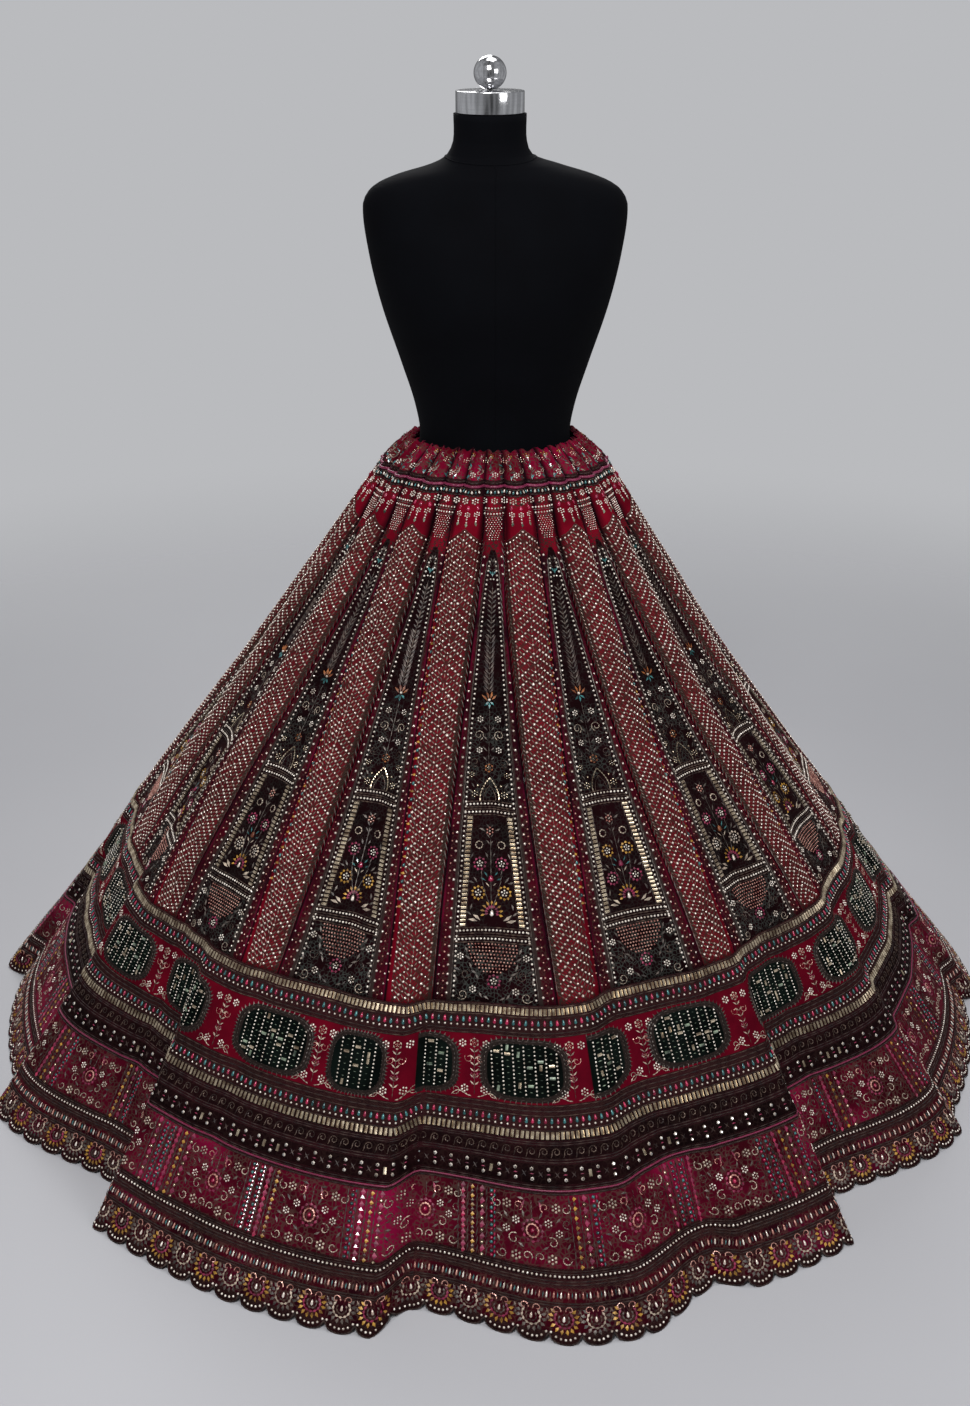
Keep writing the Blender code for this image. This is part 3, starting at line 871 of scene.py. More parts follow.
def kali(name, edges, unit, columns, rows, top, bottom, middle_at, material):
    bm = bmesh.new()
    bmesh.ops.create_grid(bm, x_segments=columns, y_segments=rows, size=0.5)
    bm.verts.index_update()
    flat = np.array([vert.co[:2] for vert in bm.verts])
    along = top + (bottom - top) * (0.5 - flat[:, 1])
    left, right = edges(unit, along)
    gap = np.degrees(SEAM_GAP / 2 / profile_at(along)[0])
    azimuth = left + gap + (right - left - 2 * gap) * (flat[:, 0] + 0.5)
    radius = profile_at(along)[0]
    across = np.radians(azimuth - middle_at(unit, along)) * radius
    from_edge = np.radians(np.minimum(azimuth - left, right - azimuth)) * radius
    maps = {"cloth": across, "jaal": across / jaal_half(along), "edge": from_edge}
    for vert, place in zip(bm.verts, surface(azimuth, along)):
        vert.co = place
    for map_name, u in maps.items():
        layer = bm.loops.layers.uv.new(map_name)
        for face in bm.faces:
            for loop in face.loops:
                loop[layer].uv = (u[loop.vert.index], along[loop.vert.index])
    return finish_piece(name, bm, material, WALL)


def outward(piece):
    """Turns the faces so that they look away from the skirt's middle line."""
    mesh = piece.data
    centres = np.array([p.center for p in mesh.polygons])
    normals = np.array([p.normal for p in mesh.polygons])
    if (centres[:, :2] * normals[:, :2]).sum() < 0:
        mesh.flip_normals()
    return piece


def cut_size(left, right, top, bottom, rows=24):
    """The flat width, length and area of a piece cut between two edges, measured on the surface."""
    alongs = np.linspace(top, bottom, rows)
    widths = []
    for along in alongs:
        path = surface(np.linspace(left(along), right(along), 400), along)
        widths.append(np.linalg.norm(np.diff(path, axis=0), axis=1).sum())
    length = bottom - top
    return max(widths), length, float(np.mean(widths)) * length


print("chevron panel at the band:", [round(float(v), 3) for v in chevron_edges(BAND_START)])

# %% The window and chevron kalis
def window_edges(unit, along):
    left, right = chevron_edges(along)
    return (unit - 1 + right) * UNIT_DEG, (unit + left) * UNIT_DEG


def chevron_sides(unit, along):
    left, right = chevron_edges(along)
    return (unit + left) * UNIT_DEG, (unit + right) * UNIT_DEG


cloth = []
seam_top, seam_bottom = PIPING_END + SEAM_GAP / 2, BAND_START - SEAM_GAP / 2
for unit_number in range(UNITS):
    tag = f"{unit_number + 1:02d}"
    window = kali(
        f"window_kali_{tag}", window_edges, unit_number, 14, 56, seam_top, seam_bottom,
        window_middle, window_velvet,
    )
    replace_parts(outward(window), f"window_panel_{tag}")
    chevron = kali(
        f"chevron_kali_{tag}", chevron_sides, unit_number, 6, 56, seam_top, seam_bottom,
        chevron_middle, chevron_velvet,
    )
    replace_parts(outward(chevron), f"chevron_panel_{tag}")
    for piece, edges in ((window, window_edges), (chevron, chevron_sides)):
        width, length, area = cut_size(
            lambda s: edges(unit_number, s)[0], lambda s: edges(unit_number, s)[1],
            seam_top, seam_bottom,
        )
        cloth.append(piece)
print("kalis:", len(cloth), "last one cut", round(width, 3), "by", round(length, 3), "m")

# %% [markdown]
# The casing and the four bands are rings: a circle operator, extruded downwards row by row, then
# laid on the surface. The casing is drawn in by its cord, so it has many small pleats, and its top
# edge waves a little up and down. The lowest ring ends in scallops.

# %% Laying a ring
def scallop_drop(azimuth):
    across = 2 * ((azimuth / 360 * SCALLOPS) % 1.0) - 1
    return SCALLOP_DEPTH * (1 - np.sqrt(np.maximum(0.0, 1 - across * across)))


def extrude_rows(bm, rows, layer):
    """Extrudes a circle's edges row by row, and writes each new vertex's row in the layer."""
    edges = bm.edges[:]
    for step in range(1, rows + 1):
        grown = bmesh.ops.extrude_edge_only(bm, edges=edges)["geom"]
        for item in grown:
            if isinstance(item, bmesh.types.BMVert):
                item[layer] = step
        edges = [item for item in grown if isinstance(item, bmesh.types.BMEdge)]


def ring(name, columns, rows, top, bottom, material, drop=None, frill=0.0):
    bm = bmesh.new()
    bmesh.ops.create_circle(bm, segments=columns, radius=1.0)
    column = bm.verts.layers.int.new("column")
    row = bm.verts.layers.int.new("row")
    for vert in bm.verts:
        turn = math.atan2(vert.co.y, vert.co.x) / (2 * math.pi)
        vert[column] = round(turn * columns) % columns
    extrude_rows(bm, rows, row)
    azimuth = np.array([vert[column] for vert in bm.verts]) * 360 / columns
    share = np.array([vert[row] for vert in bm.verts]) / rows
    low = bottom - (drop(azimuth) if drop else 0.0)
    along = top + (low - top) * share
    places = surface(azimuth, along)
    places[:, 2] += frill * (1 - share) ** 3 * np.sin(np.radians(64 * azimuth))
    for vert, place in zip(bm.verts, places):
        vert.co = place
    layer, gathers = bm.loops.layers.uv.new("cloth"), bm.loops.layers.uv.new("gather")
    lobes = gather_lobes(azimuth)
    metres = math.radians(1) * float(profile_at(bottom)[0])
    bm.verts.index_update()
    for face in bm.faces:
        spots = [azimuth[loop.vert.index] for loop in face.loops]
        crosses = max(spots) - min(spots) > 180
        for loop, spot in zip(face.loops, spots):
            turned = spot + 360 if crosses and spot < 180 else spot
            loop[layer].uv = (turned * metres, along[loop.vert.index])
            loop[gathers].uv = (lobes[loop.vert.index], along[loop.vert.index])
    return finish_piece(name, bm, material, WALL)


RINGS = (
    # piece, node, columns, rows, top, bottom, material, slot
    ("waist_casing_cloth", "waist_casing", 560, 8, 0.0, CASING_END, waist_velvet, "velvet_waist"),
    ("medallion_band_cloth", "medallion_band", 480, 10, BAND_START, BORDER_START, band_velvet,
     "velvet_band"),
    ("mirror_border_cloth", "mirror_border", 480, 4, BORDER_START, LOWER_START, border_velvet,
     "embroidered_border"),
    ("lower_band_cloth", "lower_band", 480, 6, LOWER_START, EDGING_START, lower_velvet,
     "velvet_lower"),
    ("scalloped_edging_cloth", "scalloped_edging", 1024, 4, EDGING_START, HEM, edging_velvet,
     "scalloped_border"),
)
for name, node, columns, rows, top, bottom, material, slot in RINGS:
    start = top + (SEAM_GAP / 2 if top else 0.0)
    stop = bottom if bottom == HEM else bottom - SEAM_GAP / 2
    piece = ring(
        name, columns, rows, start, stop, material,
        drop=scallop_drop if bottom == HEM else None, frill=0.0 if top else 0.0016,
    )
    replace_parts(outward(piece), node)
    width, length, area = cut_size(lambda s: 0.0, lambda s: 360.0, start, stop)
    held = "gathered" if node == "waist_casing" else "hung"
    cloth.append(piece)
    print(name, "cut", round(width, 3), "by", round(length, 4), "m")

# %% [markdown]
# Pink piping lies in the seam under the casing. It is a bias strip sewn round a thin cord: here a
# grid rolled into a tube of 2.1 mm radius that follows the pleats, closed by merging its two rims.

# %% The waist piping
PIPING_RADIUS = 0.0021


def tube_round(name, along, radius, lift, columns, sides, material):
    bm = bmesh.new()
    bmesh.ops.create_grid(bm, x_segments=columns, y_segments=sides, size=0.5)
    flat = np.array([vert.co[:2] for vert in bm.verts]) + 0.5
    azimuth = flat[:, 0] * 360
    place, _, up, out = directions(azimuth, along)
    turn = (flat[:, 1] * 2 * np.pi)[:, None]
    places = place + out * lift + radius * (np.cos(turn) * out + np.sin(turn) * up)
    for vert, spot in zip(bm.verts, places):
        vert.co = spot
    bmesh.ops.remove_doubles(bm, verts=bm.verts, dist=1e-5)
    return finish_piece(name, bm, material)


piping_along = (CASING_END + PIPING_END) / 2
piping = tube_round(
    "waist_piping_cord", piping_along, PIPING_RADIUS, 0.0004, 560, 6, pink_satin
)
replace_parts(piping, "waist_piping")
print("piping:", len(piping.data.polygons), "faces")

# %% [markdown]
# ## Beadwork
# Thousands of beads would be slow as objects, so each kind is modelled once, by operators, and its
# copies are joined into one mesh for each region. A row of numbers places each copy: where on the
# cloth, how wide, long and tall, and how far it is turned. The kinds have 6 to 28 triangles.

# %% The kinds of bead
def read_stamp(bm):
    bmesh.ops.triangulate(bm, faces=bm.faces)
    bm.verts.index_update()
    verts = np.array([vert.co[:] for vert in bm.verts])
    faces = np.array([[vert.index for vert in face.verts] for face in bm.faces])
    bm.free()
    return verts, faces


def sequin_stamp():
    """A low five-sided cup with its raised middle."""
    bm = bmesh.new()
    bmesh.ops.create_cone(bm, cap_ends=True, segments=5, radius1=0.5, radius2=0, depth=1)
    bmesh.ops.translate(bm, vec=(0, 0, 0.5), verts=bm.verts)
    return read_stamp(bm)


def pearl_stamp():
    """A pearl, whose poles look out of the cloth and into it."""
    bm = bmesh.new()
    bmesh.ops.create_uvsphere(bm, u_segments=6, v_segments=2, radius=0.5)
    return read_stamp(bm)


def stitch_stamp():
    """A three-sided spindle lying flat, ridge up: a satin stitch, a small leaf or a petal."""
    bm = bmesh.new()
    bmesh.ops.create_uvsphere(bm, u_segments=3, v_segments=2, radius=0.5)
    widest = max(abs(vert.co.y) for vert in bm.verts)
    for vert in bm.verts:
        vert.co = Vector((vert.co.y * 0.5 / widest, vert.co.z, vert.co.x))
    return read_stamp(bm)


def bar_stamp():
    """A bugle bead lying on the cloth, with its long edges taken off."""
    bm = bmesh.new()
    bmesh.ops.create_cone(bm, cap_ends=True, segments=5, radius1=0.5, radius2=0.5, depth=1)
    for vert in bm.verts:
        vert.co = Vector((vert.co.x, vert.co.z, vert.co.y))
    return read_stamp(bm)


def drop_stamp():
    """A pear-shaped glass bead, thin at its upper end."""
    bm = bmesh.new()
    bmesh.ops.create_uvsphere(bm, u_segments=5, v_segments=3, radius=0.5)
    for vert in bm.verts:
        thin = 1 - 0.9 * max(0.0, vert.co.z + 0.1)
        vert.co = Vector((vert.co.x * thin, vert.co.z, vert.co.y * thin))
    return read_stamp(bm)


def disc_stamp():
    """A small round mirror or a flat rosette, with a bevelled rim."""
    bm = bmesh.new()
    bmesh.ops.create_cone(bm, cap_ends=True, segments=8, radius1=0.5, radius2=0.4, depth=1)
    return read_stamp(bm)


STAMPS = {
    "sequin": sequin_stamp(),
    "pearl": pearl_stamp(),
    "stitch": stitch_stamp(),
    "bar": bar_stamp(),
    "drop": drop_stamp(),
    "disc": disc_stamp(),
}
FLAT_KINDS = ("bar", "stitch", "disc")
for kind, (verts, faces) in STAMPS.items():
    print(kind, "has", len(faces), "triangles")

# %% Sewing them on
SEQUIN_LEAN = 0.20
rng = np.random.default_rng(7)
sewn = {}


def sew(piece, kind, finish, azimuth, along, wide, long, tall, turn=0.0, lift=0.0):
    """Adds beads to a piece. Sizes are in metres; turn is in degrees, anticlockwise from upright."""
    columns = np.broadcast_arrays(azimuth, along, wide, long, tall, turn, lift)
    rows = np.stack([np.asarray(c, float).ravel() for c in columns], axis=1)
    sewn.setdefault(piece, []).append((kind, finish, rows))


def make_beadwork(piece):
    """Joins all the beads of a piece into one mesh, with a material for each finish."""
    used = sorted({finish for _, finish, _ in sewn[piece]})
    all_verts, all_faces, all_slots, all_smooth, count = [], [], [], [], 0
    for kind, finish, rows in sewn[piece]:
        verts, faces = STAMPS[kind]
        azimuth, along, wide, long, tall, turn, lift = rows.T
        place, across, up, out = directions(azimuth, along)
        cos, sin = np.cos(np.radians(turn))[:, None], np.sin(np.radians(turn))[:, None]
        right, top = across * cos + up * sin, up * cos - across * sin
        if kind == "sequin":
            lean = rng.normal(0, SEQUIN_LEAN, (len(rows), 2))
            out = unit(out + right * lean[:, :1] + top * lean[:, 1:])
            right = unit(right - out * (right * out).sum(axis=1, keepdims=True))
            top = np.cross(out, right)
        place = place + out * lift[:, None]
        moved = place[:, None, :]
        for axis, (way, size) in enumerate(((right, wide), (top, long), (out, tall))):
            moved = moved + verts[None, :, axis, None] * (way * size[:, None])[:, None, :]
        starts = count + np.arange(len(rows))[:, None, None] * len(verts)
        all_verts.append(moved.reshape(-1, 3))
        all_faces.append((faces[None] + starts).reshape(-1, 3))
        made = len(rows) * len(faces)
        all_slots.append(np.full(made, used.index(finish)))
        all_smooth.append(np.full(made, kind not in FLAT_KINDS))
        count += len(rows) * len(verts)
    mesh = bpy.data.meshes.new(piece)
    mesh.from_pydata(np.concatenate(all_verts), [], np.concatenate(all_faces))
    mesh.polygons.foreach_set("material_index", np.concatenate(all_slots))
    mesh.polygons.foreach_set("use_smooth", np.concatenate(all_smooth))
    for finish in used:
        mesh.materials.append(finishes[finish])
    add_piece(piece, mesh)
    print(piece, len(mesh.polygons), "triangles")


# %% [markdown]
# A few motifs come again and again: a line of stitches along any path, a flower of five or six
# pearls round a middle one, a row of beads round the skirt, and a curled scroll. They are drawn flat,
# in metres from a point of the cloth, and one call draws them at every place in a list of azimuths.

# %% Lines, flowers and scrolls
STITCH_LIFT = 0.0003


def stitch_path(piece, finish, azimuth, along, wide=0.0011, tall=0.0009):
    """Stitches along paths given as arrays of azimuth and along, one path a row."""
    azimuth, along = np.broadcast_arrays(np.atleast_2d(azimuth), np.atleast_2d(along))
    middle, down = (azimuth[:, 1:] + azimuth[:, :-1]) / 2, (along[:, 1:] + along[:, :-1]) / 2
    dx = np.diff(azimuth, axis=1) * metres_per_degree(middle, down)
    dy = -np.diff(along, axis=1)
    turn = np.degrees(np.arctan2(-dx, dy))
    long = np.hypot(dx, dy) * 1.25
    sew(piece, "stitch", finish, middle, down, wide, long, tall, turn, STITCH_LIFT)


def stitch_line(piece, finish, azimuth, along, x, y, wide=0.0011, tall=0.0009):
    """Stitches along a flat path, drawn from each azimuth."""
    stitch_path(piece, finish, *on_cloth(azimuth, along, x, y), wide, tall)


def stitch_round(piece, finish, along, pitch=0.012, wide=0.0013, tall=0.0011):
    """A couched cord round the whole skirt."""
    spots = ring_spots(along, pitch)
    closed = np.concatenate([spots, spots[:1] + 360])
    stitch_path(piece, finish, closed[None], np.full((1, len(closed)), along), wide, tall)


def bead_round(piece, kind, finish, along, pitch, wide, long, tall, first=0, every=1):
    """A row of beads round the whole skirt, or every second, third or fourth bead of one."""
    sew(piece, kind, finish, ring_spots(along, pitch)[first::every], along, wide, long, tall)


def put(piece, kind, finish, azimuth, along, x, y, wide, long, tall, turn=0.0, lift=0.0):
    """Beads at flat places from each azimuth."""
    spots, downs = on_cloth(azimuth, along, x, y)
    sew(piece, kind, finish, spots, downs, wide, long, tall, turn, lift)


def pearl_flower(piece, azimuth, along, x, y, size, petal="pearl", centre="pearl", petals=6):
    turn = np.arange(petals) * 2 * np.pi / petals
    px, py = x + size * 0.34 * np.sin(turn), y + size * 0.34 * np.cos(turn)
    put(piece, "pearl", petal, azimuth, along, px, py, size * 0.29, size * 0.29, size * 0.2)
    put(piece, "pearl", centre, azimuth, along, x, y, size * 0.22, size * 0.22, size * 0.22)


def stitch_fan(piece, finish, azimuth, along, x, y, turn, reach, wide, long, tall, lean=90, high=None):
    """Stitches on an arc round a point, with its reach to the side and, where it differs, up."""
    px = x - reach * np.sin(np.radians(turn))
    py = y + (high or reach) * np.cos(np.radians(turn))
    put(piece, "stitch", finish, azimuth, along, px, py, wide, long, tall, turn + lean)


def petal_flower(piece, azimuth, along, x, y, size, petal, centre, petals=8):
    """A ring of satin-stitched petals round a cluster of beads."""
    turn = np.arange(petals) * 360 / petals
    stitch_fan(piece, petal, azimuth, along, x, y, turn, size * 0.37, size * 0.25,
               size * 2.05 / petals, 0.0024)
    pearl_flower(piece, azimuth, along, x, y, size * 0.50, centre, petals=5)


def scroll(piece, finish, azimuth, along, x, y, size, side=1, turns=1.25, start=0.0, wide=0.0012):
    """A curl that winds in, then runs out as a tail."""
    angle = np.linspace(0, turns * 2 * np.pi, 11)
    reach = size * (0.5 - 0.36 * angle / angle[-1])
    px = x + side * reach * np.sin(angle + math.radians(start))
    py = y + reach * np.cos(angle + math.radians(start))
    stitch_line(piece, finish, azimuth, along, px, py, wide, 0.0010)


def leaf_pairs(piece, finish, azimuth, along, x, ys, size, spread=40.0):
    """Leaves in pairs up a stem."""
    for side in (-1, 1):
        px = np.full(len(ys), x + side * size * 0.36)
        put(piece, "stitch", finish, azimuth, along, px, ys, size * 0.32, size, 0.0014, -side * spread)


print("motifs: lines, flowers, scrolls and leaves")

# %% [markdown]
# ### Chevron panels
# Each strip between the windows carries rows of silver sequins that climb to its middle line like
# roof tiles, with a brown corded edging on the inner side. On the outer side a column of teal and gold
# glass and a line of rose sequins lie on plain red. The rows repeat every 11.6 mm, and the top row
# ends in a point under the waist.

# %% Chevron sequins
SEQUIN_PITCH = 0.0047
ARM = 5


def row_places(first, steps):
    """Flat places along every row of a panel, from its middle line out to both sides."""
    starts = np.arange(CHEVRON_TOP + first, BAND_START - 0.004, ROW_PITCH)
    xs = np.tile(steps * SEQUIN_PITCH, len(starts))
    ys = np.repeat(starts, len(steps)) + np.abs(xs) * ROW_SLOPE
    shown = ys < BAND_START - 0.003
    return xs[shown], ys[shown]


def beside(unit_number, alongs, offset):
    """Azimuths of a line down a chevron panel, at an offset in metres from its middle."""
    return chevron_middle(unit_number, alongs) + np.degrees(offset / profile_at(alongs)[0])


def chevron_work(name, unit_number):
    """One panel's rows of sequins and stitches, then its edging, its point and its outer side."""
    chosen = rng.random(len(across)) < 0.95
    xs, ys = across[chosen], downs[chosen]
    spots = beside(unit_number, ys, xs) + rng.normal(0, 0.015, len(xs))
    size = rng.normal(0.0039, 0.0005, len(xs))
    sew(name, "sequin", "silver_sequin", spots, ys, size, size, 0.0014)
    chosen = rng.random(len(stitch_across)) < 0.9
    xs, ys = stitch_across[chosen], stitch_downs[chosen]
    lean = np.where(np.abs(xs) < 1e-4, 0, np.sign(xs) * -42) + rng.normal(0, 5, len(xs))
    sew(name, "stitch", "zari_thread", beside(unit_number, ys, xs), ys, 0.0019, 0.0070, 0.0013, lean)
    outer = 1 if (unit_number + 0.5) * UNIT_DEG < 180 else -1
    line = beside(unit_number, slant, -outer * 0.0245)
    sew(name, "stitch", "dull_gold", line, slant, 0.0017, 0.0056, 0.0014, outer * 55)
    for offset, finish in ((-0.0269, "grey_thread"), (0.0218, "brown_cord")):
        line = beside(unit_number, slant[::2], outer * offset)
        stitch_path(name, finish, line, slant[::2], 0.0015, 0.0014)
    for side in (-1, 1):
        tip_down = CHEVRON_TOP + tip * 0.95
        stitch_path(name, "dull_gold", beside(unit_number, tip_down, side * tip), tip_down, 0.0014)
    line = beside(unit_number, beads, outer * 0.0243)
    sew(name, "pearl", "teal_glass", line[::2], beads[::2], 0.0054, 0.0062, 0.0030)
    sew(name, "stitch", "yellow_gold", line[1::2], beads[1::2], 0.0050, 0.0066, 0.0028, 90)
    line = beside(unit_number, dots, outer * np.where(dots < 0.22, 0.0240, 0.0276))
    size = np.where(dots < 0.42, 0.0048, 0.0030)
    sew(name, "sequin", "rose_sequin", line, dots, size, size, 0.0014)


across, downs = row_places(ROW_FIRST, np.arange(-ARM, ARM + 1) * 0.9)
stitch_across, stitch_downs = row_places(ROW_FIRST + ROW_PITCH / 2, np.arange(-ARM, ARM + 1) * 0.88)
slant = np.arange(CHEVRON_TOP + 0.020, BAND_START - 0.006, 0.0050)
tip = np.linspace(0, 0.019, 5)
beads = np.arange(0.225, 0.62, 0.0104)
dots = np.arange(0.150, 0.70, 0.0098)
for group in range(4):
    name = f"chevron_sequins_{group + 1}"
    for unit_number in range(group * 4, group * 4 + 4):
        chevron_work(name, unit_number)
    make_beadwork(name)

# %% [markdown]
# ### Window panels
# From the top down, the dark field holds a lotus, a leafy stem, a tulip, pairs of white flowers with
# scrolls, an arch on a double bar, a framed vase of flowers, a bowl filled with small sequins, and a
# last flower among leaves. Pearls run down both its edges. Colours change from window to window.

# %% Window frames and pearl lines
units = np.arange(UNITS)


def window_line(offset_of, alongs):
    """Azimuths and alongs of a line down every window, at an offset from its middle."""
    line = window_middle(units[:, None], alongs[None, :])
    return line + np.degrees(offset_of(alongs) / profile_at(alongs)[0]), alongs + 0 * line


WINDOW_PEARL_PITCH = 0.0062
down = np.arange(0.166, 0.722, WINDOW_PEARL_PITCH)
thin = np.arange(0.166, 0.722, 0.009)
for side in (-1, 1):
    spots, alongs = window_line(lambda s: side * (jaal_half(s) - 0.0028), down)
    sew("window_pearls", "pearl", "pearl", spots, alongs, 0.0033, 0.0033, 0.0026)
    spots, alongs = window_line(lambda s: side * (jaal_half(s) + 0.0004), thin)
    stitch_path("window_pearls", "grey_thread", spots, alongs, 0.0014, 0.0012)
    for offset, pitch, start, finish, size in (
        (0.0058, 0.0118, 0.160, "silver_sequin", 0.0042), (0.0112, 0.0092, 0.24, "rose_sequin", 0.0030),
        (0.0172, 0.0120, 0.50, "silver_sequin", 0.0032),
    ):
        dots = np.arange(start, 0.72, pitch)
        spots, alongs = window_line(lambda s: side * (jaal_half(s) + offset), dots)
        limit = window_edges(units[:, None], alongs)[0 if side < 0 else 1]
        inside = (limit - spots) * side * profile_at(alongs)[0] > 0.16
        sew("window_pearls", "sequin", finish, spots[inside], alongs[inside], size, size, 0.0013)
make_beadwork("window_pearls")

FRAME_TOP = 0.4935
FRAME_BOTTOM = 0.634
for side in (-1, 1):
    bars = np.arange(FRAME_TOP + 0.003, FRAME_BOTTOM, 0.0053)
    spots, alongs = window_line(lambda s: side * (jaal_half(s) - 0.0092), bars)
    sew("window_frames", "bar", "pale_gold", spots, alongs, 0.0037, 0.0066, 0.0036, 90)
    for offset in (0.0052, 0.0134):
        line = np.arange(FRAME_TOP, FRAME_BOTTOM + 0.006, 0.010)
        spots, alongs = window_line(lambda s: side * (jaal_half(s) - offset), line)
        stitch_path("window_frames", "brown_cord", spots, alongs, 0.0013, 0.0013)
for level, inset in ((0.4795, 0.004), (0.4895, 0.003), (0.6365, 0.002), (0.6470, 0.001)):
    reach = float(jaal_half(level)) - inset
    row = np.arange(-reach, reach + 0.001, 0.0046)
    middle = window_middle(units, level)
    put("window_frames", "pearl", "pearl", middle, level, row, 0 * row, 0.0034, 0.0034, 0.0030)
    for offset in (-0.0036, 0.0036):
        line = np.linspace(-reach - 0.002, reach + 0.002, 12)
        stitch_line("window_frames", "dull_gold", middle, level, line, 0 * line + offset, 0.0022, 0.0016)
make_beadwork("window_frames")

# %% Window flowers
FLOWER_COLOURS = (
    # upper pair, bud, lower pair
    ("magenta_thread", "pink_glass", "yellow_gold"),
    ("yellow_gold", "magenta_thread", "magenta_thread"),
    ("magenta_thread", "orange_thread", "cream_thread"),
)


def window_garden(piece, chosen, colours):
    """One window's flowers, from the lotus at its top to the flower under its bowl."""
    upper, bud, lower = colours

    def at(level):
        return window_middle(chosen, level), level

    def stitches(finish, level, x, y, *size_and_turn):
        put(piece, "stitch", finish, *at(level), x, y, *size_and_turn)

    def leaves(*place_size_and_turn):
        stitches("grey_thread", *place_size_and_turn)

    for side in (-1, 1):
        leaves(0.170, side * np.array((0.0016, 0.0034, 0.0040)), (0.006, 0.001, -0.006),
               0.0022, 0.0072, 0.0016, -side * np.array((20, 38, 60)))
    stitches("teal_glass", 0.181, (-0.0028, 0.0, 0.0028), (0.0, -0.002, 0.0),
             0.0030, 0.0080, 0.0020, (30, 0, -30))
    put(piece, "pearl", "pearl", *at(0.190), (-0.002, 0.002), (0.0, 0.0), 0.0028, 0.0028, 0.0022)
    stem = np.arange(-0.064, 0.066, 0.0066)
    leaf_pairs(piece, "grey_thread", *at(0.268), 0.0, stem, 0.0088)
    leaf_pairs(piece, "brown_cord", *at(0.268), 0.0, stem[:11] - 0.003, 0.0125, 30)
    stitch_line(piece, "dull_gold", *at(0.268), np.zeros(12), np.linspace(-0.07, 0.07, 12))
    put(piece, "pearl", "grey_thread", *at(0.268), 0.0, stem + 0.004, 0.003, 0.003, 0.0022)
    tulip_x, tulip_y = (-0.0065, -0.0025, 0.0025, 0.0065), (0.001, 0.004, 0.004, 0.001)
    stitches("orange_thread", 0.346, tulip_x, tulip_y, 0.004, 0.011, 0.0024, (40, 14, -14, -40))
    stitches("teal_glass", 0.351, (-0.004, 0.0, 0.004), (-0.002, -0.004, -0.002),
             0.004, 0.009, 0.0024, (-50, 0, 50))
    put(piece, "pearl", "pearl", *at(0.348), 0.0, 0.0, 0.0045, 0.0045, 0.004)
    for side in (-1, 1):
        pearl_flower(piece, *at(0.372), side * 0.0115, 0.0, 0.0092)
        scroll(piece, "cream_thread", *at(0.392), side * 0.0135, 0.0, 0.014, side, start=200)
        pearl_flower(piece, *at(0.411), side * 0.0125, 0.0, 0.0090)
        scroll(piece, "dull_gold", *at(0.428), side * 0.0185, 0.002, 0.013, -side, start=150)
        pearl_flower(piece, *at(0.4415), side * 0.0225, 0.0, 0.0085, "pale_gold")
        leaves(0.40, (side * 0.005,) * 4, (0.016, 0.004, -0.010, -0.022),
               0.0026, 0.0085, 0.0013, -side * 42)
    stitch_line(piece, "grey_thread", *at(0.40), np.zeros(9), np.linspace(-0.034, 0.040, 9))
    petal_flower(piece, *at(0.434), 0.0, 0.0, 0.012, "orange_thread", "pale_gold", 6)
    rise = np.linspace(0, 1, 9)
    for side in (-1, 1):
        for scale, finish in ((1.0, "pale_gold"), (0.66, "dull_gold")):
            px = side * 0.0125 * scale * np.cos(rise * np.pi / 2)
            py = -0.001 + 0.029 * scale * rise**0.8
            stitch_line(piece, finish, *at(0.4745), px, py, 0.0024 * scale, 0.0014)
        pearl_flower(piece, *at(0.4665), side * 0.0190, 0.0, 0.0105, "pale_gold")
        put(piece, "pearl", "pale_gold", *at(0.4560), side * 0.0150, 0.0, 0.0042, 0.0042, 0.003)
        leaves(0.455, side * np.array((0.0215, 0.0245)), (0.0, -0.007),
               0.0030, 0.0080, 0.0014, -side * np.array((25, 60)))
    vase(piece, at, stitches, leaves, upper, bud, lower)
    bowl(piece, at, leaves)


